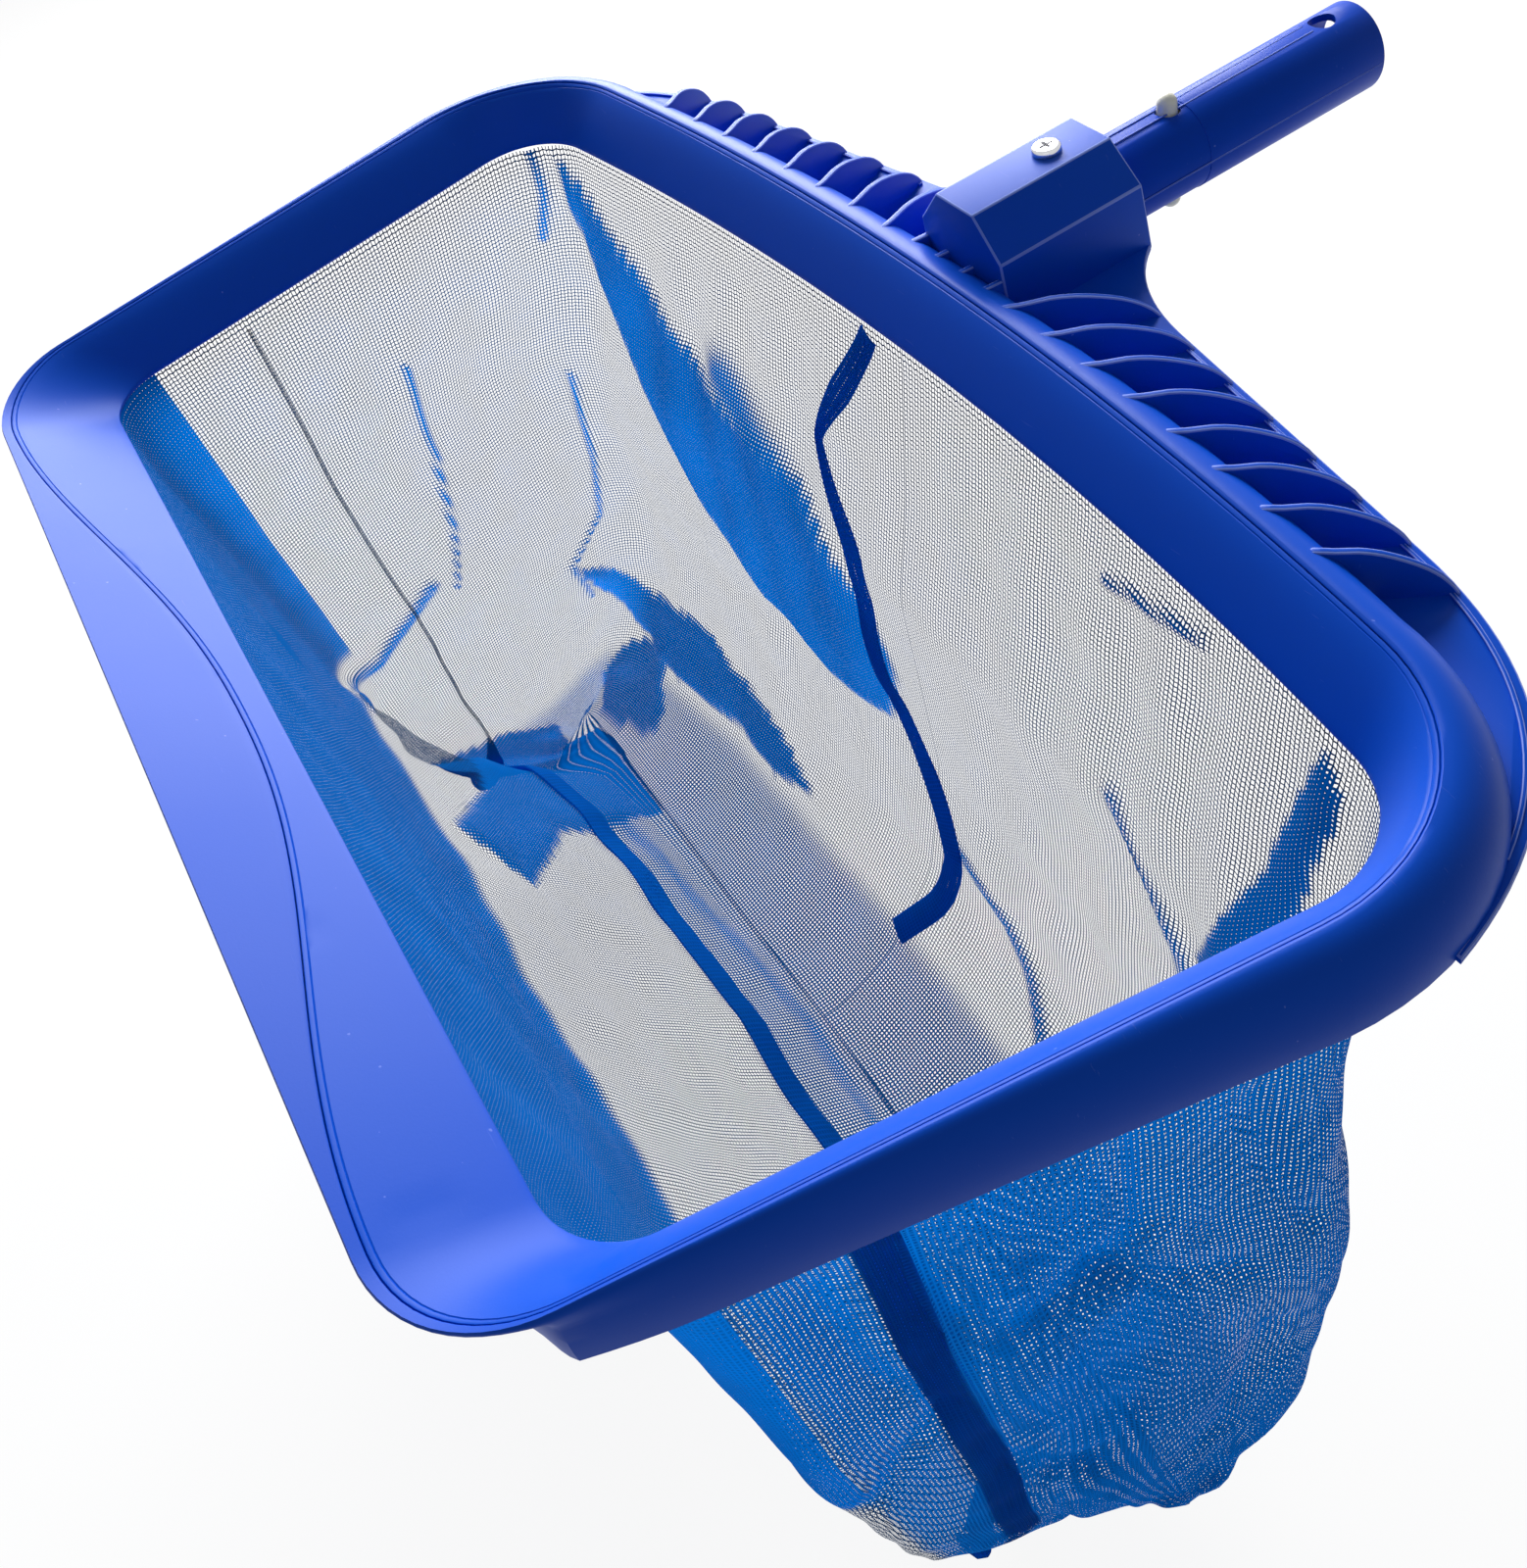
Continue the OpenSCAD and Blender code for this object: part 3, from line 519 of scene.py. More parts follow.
def new_object(name, data):
    obj = bpy.data.objects.new(name, data)
    bpy.context.scene.collection.objects.link(obj)
    return obj


def mesh_object(bm, name, material):
    """Turns a bmesh into an object and frees it."""
    mesh = bpy.data.meshes.new(name)
    bm.to_mesh(mesh)
    bm.free()
    mesh.materials.append(material)
    return new_object(name, mesh)


def sharpen(bm, angle):
    for f in bm.faces:
        f.smooth = True
    for e in bm.edges:
        e.smooth = len(e.link_faces) != 2 or e.calc_face_angle(0.0) < radians(angle)


def round_edges(bm, edges, offset, segments=2):
    """Bevels edges and marks the new faces' corners, where the plastic's skin paints a highlight.
    """
    sheen_mark = bm.loops.layers.float.get("edge") or bm.loops.layers.float.new("edge")
    made = bmesh.ops.bevel(bm, geom=list(edges), offset=offset, segments=segments, profile=0.5,
                           affect="EDGES", material=-1, clamp_overlap=True)
    for f in made["faces"]:
        for loop in f.loops:
            loop[sheen_mark] = 1.0


def sharp_edges(bm, angle):
    limit = radians(angle)
    return [e for e in bm.edges if len(e.link_faces) == 2 and e.calc_face_angle(0.0) > limit]


def add_piece(bm, name, look, replaces=(), body="rake", angle=35, row_frame=False, normals=True):
    """Turns a bmesh in millimetres into a finished piece with the named look."""
    if normals:
        bmesh.ops.recalc_face_normals(bm, faces=bm.faces[:])
    shift = Vector((0, 0, 0)) if row_frame else Vector(MOUTH)
    for v in bm.verts:
        v.co = (v.co + shift) * MM
    sharpen(bm, angle)
    obj = mesh_object(bm, name, finish(look))
    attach(obj, body)
    if replaces:
        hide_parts(*replaces)
    return obj


def copy_of(node, name, look, bevel, body="rake"):
    """A merged copy of a CAD node with rounded edges, which stands for it."""
    bm = bmesh.new()
    bm.from_mesh(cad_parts[node].data)
    bmesh.ops.remove_doubles(bm, verts=bm.verts[:], dist=1e-6)
    bmesh.ops.dissolve_limit(bm, angle_limit=radians(0.4), verts=bm.verts[:], edges=bm.edges[:],
                             delimit={"NORMAL"})
    bmesh.ops.scale(bm, vec=(1000, 1000, 1000), verts=bm.verts[:])
    round_edges(bm, sharp_edges(bm, 32), bevel)
    add_piece(bm, name, look, (node,), body, angle=30, row_frame=True, normals=False)


# ---- materials


def group(name, inputs, outputs):
    """An empty shader group with its named sockets, and its in and out nodes."""
    tree = bpy.data.node_groups.new(name, "ShaderNodeTree")
    for label, kind, value in inputs:
        socket = tree.interface.new_socket(label, in_out="INPUT", socket_type="NodeSocket" + kind)
        if value is not None:
            socket.default_value = value
    for label, kind in outputs:
        tree.interface.new_socket(label, in_out="OUTPUT", socket_type="NodeSocket" + kind)
    return tree, tree.nodes.new("NodeGroupInput"), tree.nodes.new("NodeGroupOutput")


def link(tree, socket, value):
    """Links an output to a socket, or sets the socket's own value."""
    if isinstance(value, bpy.types.NodeSocket):
        tree.links.new(value, socket)
    elif isinstance(value, tuple) and socket.type == "RGBA":
        socket.default_value = (*value[:3], 1.0)
    else:
        socket.default_value = value


def fill(tree, node, values):
    for label, value in values.items():
        link(tree, node.inputs[label], value)
    return node


def new_node(tree, kind, values):
    return fill(tree, tree.nodes.new("ShaderNode" + kind), values)


def maths(tree, op, *values, clamp=False):
    node = new_node(tree, "Math", dict(enumerate(values)))
    node.operation = op
    node.use_clamp = clamp
    return node.outputs[0]


def blend_colours(tree, mode, fac, a, b):
    node = tree.nodes.new("ShaderNodeMix")
    node.data_type = "RGBA"
    node.blend_type = mode
    return fill(tree, node, {"Factor": fac, 6: a, 7: b}).outputs[2]


def shaded(tree, colour, shade):
    """A colour made lighter or darker by one number."""
    grey = new_node(tree, "CombineColor", {i: shade for i in range(3)})
    return blend_colours(tree, "MULTIPLY", 1.0, colour, grey.outputs["Color"])


def noise(tree, vector, scale, detail=2.0, rough=0.5):
    return new_node(tree, "TexNoise", {"Vector": vector, "Scale": scale, "Detail": detail,
                                       "Roughness": rough}).outputs["Fac"]


def build_moulded_skin():
    """Faint flow marks, fine texture, specks and scuffs of moulded plastic, and a painted highlight
    on its rounded edges.
    """
    tree, given, out = group(
        "Moulded skin",
        [("Vector", "Vector", None), ("Color", "Color", (0.5, 0.5, 0.5, 1)),
         ("Highlight and marks", "Color", (0.8, 0.8, 0.8, 1)), ("Edge", "Float", 0.0),
         ("Roughness", "Float", 0.4), ("Flow", "Float", 0.08)],
        [("Color", "Color"), ("Roughness", "Float"), ("Height", "Float")])
    calc = partial(maths, tree)
    place, given = given.outputs["Vector"], given.outputs
    flow = noise(tree, place, 9.0, 3.0)
    fine = noise(tree, place, 1400.0)
    stretch = new_node(tree, "Mapping", {"Vector": place, "Scale": (40.0, 900.0, 300.0),
                                         "Rotation": (0.2, 0.1, 0.6)})
    scratches = noise(tree, stretch.outputs["Vector"], 1.0, 3.0, 0.7)
    scuff = calc("GREATER_THAN", scratches, 0.71)
    speck = calc("GREATER_THAN", noise(tree, place, 420.0, 1.0), 0.82)
    uneven = calc("SUBTRACT", flow, 0.5)
    tinted = shaded(tree, given["Color"], calc("MULTIPLY_ADD", uneven, given["Flow"], 1.0))
    # Painted highlight: rounded edges take the second colour; specks and scuffs are real marks in
    # it too
    edge_highlight_and_marks = calc("MULTIPLY", given["Edge"], calc("ADD", calc("MULTIPLY", flow, 0.6), 0.15))
    edge_highlight_and_marks = calc("ADD", edge_highlight_and_marks, calc("MULTIPLY", speck, 0.2), clamp=True)
    edge_highlight_and_marks = calc("ADD", edge_highlight_and_marks, calc("MULTIPLY", scuff, 0.05), clamp=True)
    rough = calc("ADD", given["Roughness"], calc("MULTIPLY", uneven, 0.12))
    fill(tree, out, {
        "Color": blend_colours(tree, "MIX", edge_highlight_and_marks, tinted, given["Highlight and marks"]),
        "Roughness": calc("ADD", rough, calc("MULTIPLY", scuff, 0.1)),
        "Height": calc("ADD", calc("MULTIPLY", fine, 0.6), calc("MULTIPLY", scuff, 0.4))})


def build_net_weave():
    """Threads of an open knitted net on a cloth map in millimetres: mask, height and shade."""
    tree, given, out = group(
        "Net weave",
        [("Vector", "Vector", None), ("Pitch", "Float", 1.6), ("Thread", "Float", 0.34),
         ("Gather", "Float", 0.0)],
        [("Mask", "Float"), ("Height", "Float"), ("Shade", "Float")])
    calc, given = partial(maths, tree), given.outputs
    split = new_node(tree, "SeparateXYZ", {0: given["Vector"]})
    x, pitch = split.outputs["X"], given["Pitch"]
    # Courses wave a little from side to side, as a knit's do
    turns = calc("DIVIDE", calc("MULTIPLY", x, 2 * pi), calc("MULTIPLY", pitch, 2.0))
    y = calc("ADD", split.outputs["Y"], calc("MULTIPLY", calc("SINE", turns), 0.16))
    half = calc("ADD", calc("MULTIPLY", given["Thread"], 0.5),
                calc("MULTIPLY", given["Gather"], 0.5))

    def from_thread(value):
        cell = calc("FRACT", calc("DIVIDE", value, pitch))
        return calc("MULTIPLY", calc("ABSOLUTE", calc("SUBTRACT", cell, 0.5)), pitch)

    near = calc("MINIMUM", from_thread(x), from_thread(y))
    share = calc("DIVIDE", near, calc("MAXIMUM", half, 0.05))
    fill(tree, out, {"Mask": calc("LESS_THAN", near, half),
                     "Height": calc("SUBTRACT", 1.0, share, clamp=True),
                     "Shade": noise(tree, given["Vector"], 0.05, 3.0, 0.6)})


def new_material(name):
    m = bpy.data.materials.new(name)
    m.use_nodes = True
    tree = m.node_tree
    return m, tree, tree.nodes["Principled BSDF"]


def attribute(tree, name):
    node = tree.nodes.new("ShaderNodeAttribute")
    node.attribute_name = name
    return node.outputs["Fac"]


def effect(tree, name, values):
    """A node that holds the named shader group."""
    node = tree.nodes.new("ShaderNodeGroup")
    node.node_tree = bpy.data.node_groups[name]
    return fill(tree, node, values).outputs


def bump(tree, height, strength, distance):
    return new_node(tree, "Bump", {"Height": height, "Strength": strength,
                                   "Distance": distance}).outputs["Normal"]


def solid_skin(name, base, highlight_and_marks, roughness, specular=0.09, flow=0.1, metallic=0.0,
               relief=(0.12, 0.0002)):
    """Moulded plastic, or metal with the same kinds of marks and a painted highlight on rounded
    edges.
    """
    m, tree, shader = new_material(name)
    place = tree.nodes.new("ShaderNodeTexCoord").outputs["Object"]
    skin = effect(tree, "Moulded skin", {
        "Vector": place, "Color": base, "Highlight and marks": highlight_and_marks, "Edge": attribute(tree, "edge"),
        "Roughness": roughness, "Flow": flow})
    fill(tree, shader, {"Base Color": skin["Color"], "Roughness": skin["Roughness"],
                        "Specular IOR Level": specular, "Metallic": metallic,
                        "Normal": bump(tree, skin["Height"], *relief)})
    return m


def net_cloth(name, dark, azure, pitch, thread, solid):
    """Open net whose holes close where the cloth is gathered, and whose colour goes from a painted
    shadow-side dark to a painted lit azure there.
    """
    m, tree, shader = new_material(name)
    calc = partial(maths, tree)
    cloth = tree.nodes.new("ShaderNodeUVMap")
    cloth.uv_map = "cloth"
    gather_and_light = calc("ADD", attribute(tree, "gather_and_light"), solid, clamp=True)
    weave = effect(tree, "Net weave", {"Vector": cloth.outputs["UV"], "Pitch": pitch,
                                       "Thread": thread, "Gather": gather_and_light})
    # Painted light and shade on the threads, from the gather, with random patches of tone
    lit = calc("MULTIPLY_ADD", gather_and_light, 1.35, 0.06, clamp=True)
    patchy = calc("MULTIPLY", calc("SUBTRACT", weave["Shade"], 0.5), 0.5)
    lit = calc("ADD", lit, patchy, clamp=True)
    # Painted shade: each thread is darker towards its edges and lighter along its middle
    base = shaded(tree, blend_colours(tree, "MIX", lit, dark, azure),
                  calc("MULTIPLY_ADD", weave["Height"], 0.5, 0.62))
    fill(tree, shader, {"Base Color": base, "Alpha": weave["Mask"], "Specular IOR Level": 0.03,
                        "Roughness": calc("MULTIPLY_ADD", weave["Shade"], 0.2, 0.7),
                        "Normal": bump(tree, weave["Height"], 0.5, 0.0002)})
    # Some light comes through the threads
    glow = new_node(tree, "BsdfTranslucent", {"Color": base})
    both = new_node(tree, "MixShader", {0: calc("MULTIPLY", weave["Mask"], 0.5),
                                        1: shader.outputs[0], 2: glow.outputs[0]})
    link(tree, tree.nodes["Material Output"].inputs["Surface"], both.outputs[0])
    return m


def finish(name):
    """The named material, made the first time that a piece asks for it."""
    if name in bpy.data.materials:
        return bpy.data.materials[name]
    if "Moulded skin" not in bpy.data.node_groups:
        build_moulded_skin()
        build_net_weave()
    s, net = bpy.context.scene.skimmer_finish, bpy.context.scene.skimmer_net
    # The second colour of each skin is painted on rounded edges as a highlight, and on specks and
    # scuffs
    highlight_and_marks_blue = (0.42, 0.52, 0.95)
    skins = {"Frame plastic": (s.frame_blue, highlight_and_marks_blue, 0.42),
             "Ring plastic": (s.ring_blue, highlight_and_marks_blue, 0.40),
             "Tube plastic": (s.tube_blue, highlight_and_marks_blue, 0.36, 0.06, 0.16),
             "Ivory plastic": (s.ivory, (0.95, 0.95, 0.9), 0.35, 0.4),
             "Screw steel": (s.steel, (0.9, 0.9, 0.9), 0.22, 0.5, 0.3, 1.0, (0.1, 0.0001))}
    if name in skins:
        base, *rest = skins[name]
        return solid_skin(name, tuple(base), *rest)
    # The second number lifts the azure by a quarter on the hem and the tapes; on the tapes this is
    # painted light, as they lie in the bag's shade
    solid, shade = {"Net mesh": (0.0, 1.0), "Net hem": (0.8, 1.25), "Seam tape": (0.0, 1.25)}[name]
    azure = tuple(c * shade for c in s.net_lit_azure)
    return net_cloth(name, tuple(s.net_shadow_side_blue), azure, net.pitch / MM, net.thread / MM, solid)


# ---- frame pieces


def rim_loft(kind):
    rim = Rim(bpy.context.scene.skimmer_rim)
    made = {}
    sections = []
    for t, side in rim_loop():
        if t not in made:
            st = Station(rim, t)
            made[t] = (st, getattr(st, kind + "_section")())
        st, points = made[t]
        sections.append([st.place(p, side) for p in points])
    n, m = len(sections), len(sections[0])
    bm = bmesh.new()
    grid(bm, n, m, lambda i, j: Vector(sections[i % n][j % m]))
    bmesh.ops.remove_doubles(bm, verts=bm.verts[:], dist=1e-5)
    return bm


def bezier(a, b, c, k):
    return mix(mix(a, b, k), mix(b, c, k), k)


class Flange:
    """Outline of the flange between the rim and the socket."""

    reach = 60.0
    slope = 0.165
    thick = 2.0
    bead = 0.8
    meet_t = 3.25
    socket_half = 20.5
    setback = 81.5
    neck_x = 60.0
    neck_dip = 1.5

    def __init__(self, rim):
        self.rim = rim
        self.neck_y = rim.mouth_depth + self.reach
        self.neck_end = rim.mouth_depth + self.setback - 0.5
        x = rim.mouth_half * 0.84
        self.edge_end = np.array([x, self.edge_y(x)])
        self.meet = rim.wall_edge(self.meet_t)

    def corner(self, k, inset=0.0):
        x = self.meet[0] - 15
        c = np.array([x, self.edge_end[1] - (x - self.edge_end[0]) * self.slope])
        p, ahead, behind = (bezier(self.edge_end, c, self.meet, at)
                            for at in (k, k + 0.01, k - 0.01))
        d = ahead - behind
        return p + inset * np.array([d[1], -d[0]]) / np.linalg.norm(d)

    def neck(self, k):
        return bezier(np.array([self.socket_half, self.neck_end]),
                      np.array([33, self.neck_y + 3.5]),
                      np.array([self.neck_x, self.neck_y - self.neck_dip]), k)

    def inside(self, t):
        p = self.rim.wall_edge(t)
        d = p - self.rim.net_edge(t)
        return p - 1.4 * d / np.linalg.norm(d)

    def edge_y(self, x):
        return self.neck_y - self.neck_dip - (x - self.neck_x) * self.slope

    def outline(self):
        points = [np.array([0.0, self.neck_end])]
        points += [self.neck(k / 12) for k in range(13)]
        points += [self.corner(k / 24) for k in range(25)]
        points += [self.inside(mix(self.meet_t, 5, k / 40)) for k in range(41)]
        return points


def extrude(bm, face, way):
    """Extrudes a face and returns the new edges."""
    made = bmesh.ops.extrude_face_region(bm, geom=[face])["geom"]
    top = [v for v in made if isinstance(v, bmesh.types.BMVert)]
    bmesh.ops.translate(bm, verts=top, vec=way)
    bm.normal_update()
    return [e for e in made if isinstance(e, bmesh.types.BMEdge)]


def plate(bm, points, low, high, bevel):
    """Extrudes an outline of (x, y) points between two heights and rounds its upper edge."""
    face = bm.faces.new([bm.verts.new((p[0], p[1], low)) for p in points])
    round_edges(bm, extrude(bm, face, (0, 0, high - low)), bevel)


def thin_plate(bm, corners, thick, bevel, rounded):
    """A flat plate with its outline in 3-D corners, with some of its edges rounded."""
    a, b, c = (Vector(corners[k]) for k in (0, len(corners) // 3, 2 * len(corners) // 3))
    normal = (b - a).cross(c - a).normalized()
    face = bm.faces.new([bm.verts.new(Vector(p) - normal * thick / 2) for p in corners])
    edges = extrude(bm, face, normal * thick)
    new = set(face.edges) | set(edges)
    chosen = [e for e in new if e.is_valid and all(rounded(v.co) for v in e.verts)]
    round_edges(bm, chosen, bevel)


# The faceted socket's corners on one side, from the open end of the handle
SOCKET_CORNERS = ((9.2, -152.6, 21.9), (9.2, -102.2, 21.9), (20.3, -152.2, 9.5),
                  (20.3, -100.3, 9.5), (20.7, -151.1, -12.9), (20.7, -98, -12.9),
                  (15.3, -148.6, -17), (15.3, -99, -17), (3.6, -153.6, 0), (3.6, -153.6, -3))
# A fin's upper edge as (share of its length, share of the crest's height)
FIN_SHAPE = ((0, 0.97), (0.07, 0.955), (0.14, 0.935), (0.22, 0.925), (0.3, 0.915), (0.38, 0.885),
             (0.46, 0.84), (0.54, 0.78), (0.62, 0.71), (0.69, 0.64), (0.76, 0.56), (0.81, 0.49),
             (0.86, 0.41), (0.9, 0.33), (0.94, 0.24), (0.97, 0.15), (1, 0.06))


class SKIMMER_OT_outer_frame(bpy.types.Operator):
    """Build the outer frame moulding: rim, flange, fins, webs and handle socket"""

    bl_idname = "skimmer.outer_frame"
    bl_label = "Outer frame"
    fin_count = 8
    first_fin = 31.4
    fin_step = 18.9
    web_step = 12.6
    rib = 2.0

    def execute(self, context):
        rim = Rim(context.scene.skimmer_rim)
        add_piece(rim_loft("shell"), "frame_rim", "Frame plastic", ("outer_frame",))
        flange = Flange(rim)
        bm = bmesh.new()
        right = flange.outline()
        left = [np.array([-p[0], p[1]]) for p in right[-2:0:-1]]
        plate(bm, right + left, 0.0, flange.thick, 0.45)
        # A bead runs along each outer edge, between two insets from it
        sides = []
        for inset in (2.2, 3.4):
            sides.append([(x, flange.edge_y(x) - inset) for x in (66, 90, 120, 150)]
                         + [flange.corner(k / 24, inset) for k in range(20)])
        for side in (1, -1):
            points = [(side * p[0], p[1]) for p in sides[0] + sides[1][::-1]]
            plate(bm, points, 0.4, flange.thick + flange.bead, 0.3)
        add_piece(bm, "frame_flange", "Frame plastic")
        self.fins(rim, flange)
        self.webs(rim, flange)
        self.socket()
        return {"FINISHED"}

    def fins(self, rim, flange):
        bm = bmesh.new()
        for side in (1, -1):
            for i in range(self.fin_count):
                x = self.first_fin + i * self.fin_step
                tip_x = x + 18.6 + i * 0.35
                bow = rim.back_bow * 0.9 * (x / rim.bow_span) ** 2
                y = rim.mouth_depth + rim.crest_reach + 3.4 - bow
                if tip_x < flange.neck_x:
                    tip_y = flange.neck_y + 1
                elif tip_x < flange.edge_end[0]:
                    tip_y = flange.edge_y(tip_x)
                else:
                    tip_y = flange.corner(0.12)[1]
                root, tip = np.array([x, y]), np.array([tip_x, tip_y])
                span = float(np.linalg.norm(tip - root))
                along = (tip - root) / span
                h = rim.crest_rise
                outline = [(-2.5, h * 0.9)] + [(q * span, z * h) for q, z in FIN_SHAPE]
                outline += [(span, 0.2), (4, 0.2), (4, h * 0.6), (-2.5, h * 0.85)]
                corners = [(side * (root[0] + along[0] * d), root[1] + along[1] * d, z)
                           for d, z in outline]
                thin_plate(bm, corners, self.rib, 0.55, lambda co: co.z > 0.8)
        add_piece(bm, "frame_fins", "Frame plastic")

    def webs(self, rim, flange):
        bm = bmesh.new()
        y0 = rim.mouth_depth + rim.crest_reach
        long = flange.reach - 32 - rim.crest_reach
        h = rim.crest_rise
        for i in (-1.5, -0.5, 0.5, 1.5):
            line = [(1, h - 1.2), (long, h - 2), (long, 1), (6, 1), (4, 0.6 * h + 1)]
            thin_plate(bm, [(i * self.web_step, y0 + d, z) for d, z in line], self.rib, 0.5,
                       lambda co: co.z > 12)
        for x in (k * rim.mouth_half for k in rim.sink_at):
            reach = rim.lip_reach
            seam = Station(rim, x / rim.front_end(0, 0, rim.front_corner)).seam
            top = []
            for k in range(9):
                q = 1 - (4 + k / 8 * reach / 2) / reach
                drop = rim.ring + rim.hem_gap + 1.3 if q < seam + 0.05 else 1.8
                top.append((k / 8 * reach / 2, q * rim.lip_rise - drop))
            line = top + [(reach / 2, 0.3), (4, rim.lip_rise - 10.5)]
            for side in (1, -1):
                thin_plate(bm, [(side * x, 4 - reach + d, z) for d, z in line], self.rib, 0.3,
                           lambda co: False)
        add_piece(bm, "frame_webs", "Frame plastic")

    def socket(self):
        bm = bmesh.new()
        for x, y, z in SOCKET_CORNERS:
            for side in (1, -1):
                bm.verts.new((side * x, y, z))
        bmesh.ops.convex_hull(bm, input=bm.verts[:])
        spare = [v for v in bm.verts if not v.link_faces]
        bmesh.ops.delete(bm, geom=spare, context="VERTS")
        bmesh.ops.dissolve_limit(bm, angle_limit=radians(1.5), verts=bm.verts[:],
                                 edges=bm.edges[:])
        bm.normal_update()
        round_edges(bm, sharp_edges(bm, 12), 0.55, 3)
        add_piece(bm, "frame_socket", "Frame plastic", row_frame=True)


class SKIMMER_OT_clamp_ring(bpy.types.Operator):
    """Build the funnel-shaped ring that clamps the net's hem"""

    bl_idname = "skimmer.clamp_ring"
    bl_label = "Clamp ring"

    def execute(self, context):
        add_piece(rim_loft("ring"), "ring_funnel", "Ring plastic", ("clamp_ring",))
        return {"FINISHED"}


# ---- net pieces


def spread(stops, counts):
    """Values through the stops, each stretch cut into its own count of equal steps."""
    out = []
    for a, b, count in zip(stops[:-1], stops[1:], counts):
        out += [a + (b - a) * k / count for k in range(count)]
    return out + [stops[-1]]


def net_panel(name, bag, node, columns, rows, keep):
    """One cut panel of the bag, hung from the rim."""
    us, vs = np.meshgrid(np.array(columns), np.array(rows), indexing="ij")
    points, _, gather_and_light = bag.surface(us, vs)
    flat = bag.flat(np.stack([us, vs], axis=-1))
    gather_and_light = np.maximum(gather_and_light, region_density_and_light(us, vs))
    bm = bmesh.new()
    cloth = bm.loops.layers.uv.new("cloth")
    layer = bm.verts.layers.float.new("gather_and_light")
    where = grid(bm, len(columns) - 1, len(rows) - 1, lambda i, j: Vector(points[i, j]))
    for v, (i, j) in where.items():
        v[layer] = float(gather_and_light[i, j])
    drop = []
    for f in bm.faces:
        cells = [where[l.vert] for l in f.loops]
        for loop, (i, j) in zip(f.loops, cells):
            loop[cloth].uv = flat[i, j]
        u = sum(columns[i] for i, _ in cells) / 4
        v = sum(rows[j] for _, j in cells) / 4
        if not keep(u, v):
            drop.append(f)
    bmesh.ops.delete(bm, geom=drop, context="FACES")
    return add_piece(bm, name, "Net mesh", (node,), angle=180, normals=False)


def region_density_and_light(u, v):
    """How slack the cloth is in each part of the bag, where it looks denser and its colour is
    painted lighter.
    """
    t = abs(u)
    front = ease(2.0, 1.94, t) * ease(0.57, 0.545, v) * (0.98 - 0.1 * v)
    low = 0.34 * ease(0.9, 0.94, v)
    # Painted light: only the near side wall gets this share, though both sides are the same cloth
    near = 0.6 * (u > 0) * ease(1.96, 2.04, u) * ease(3.9, 3.3, u)
    return np.maximum(np.maximum(front, low), near)


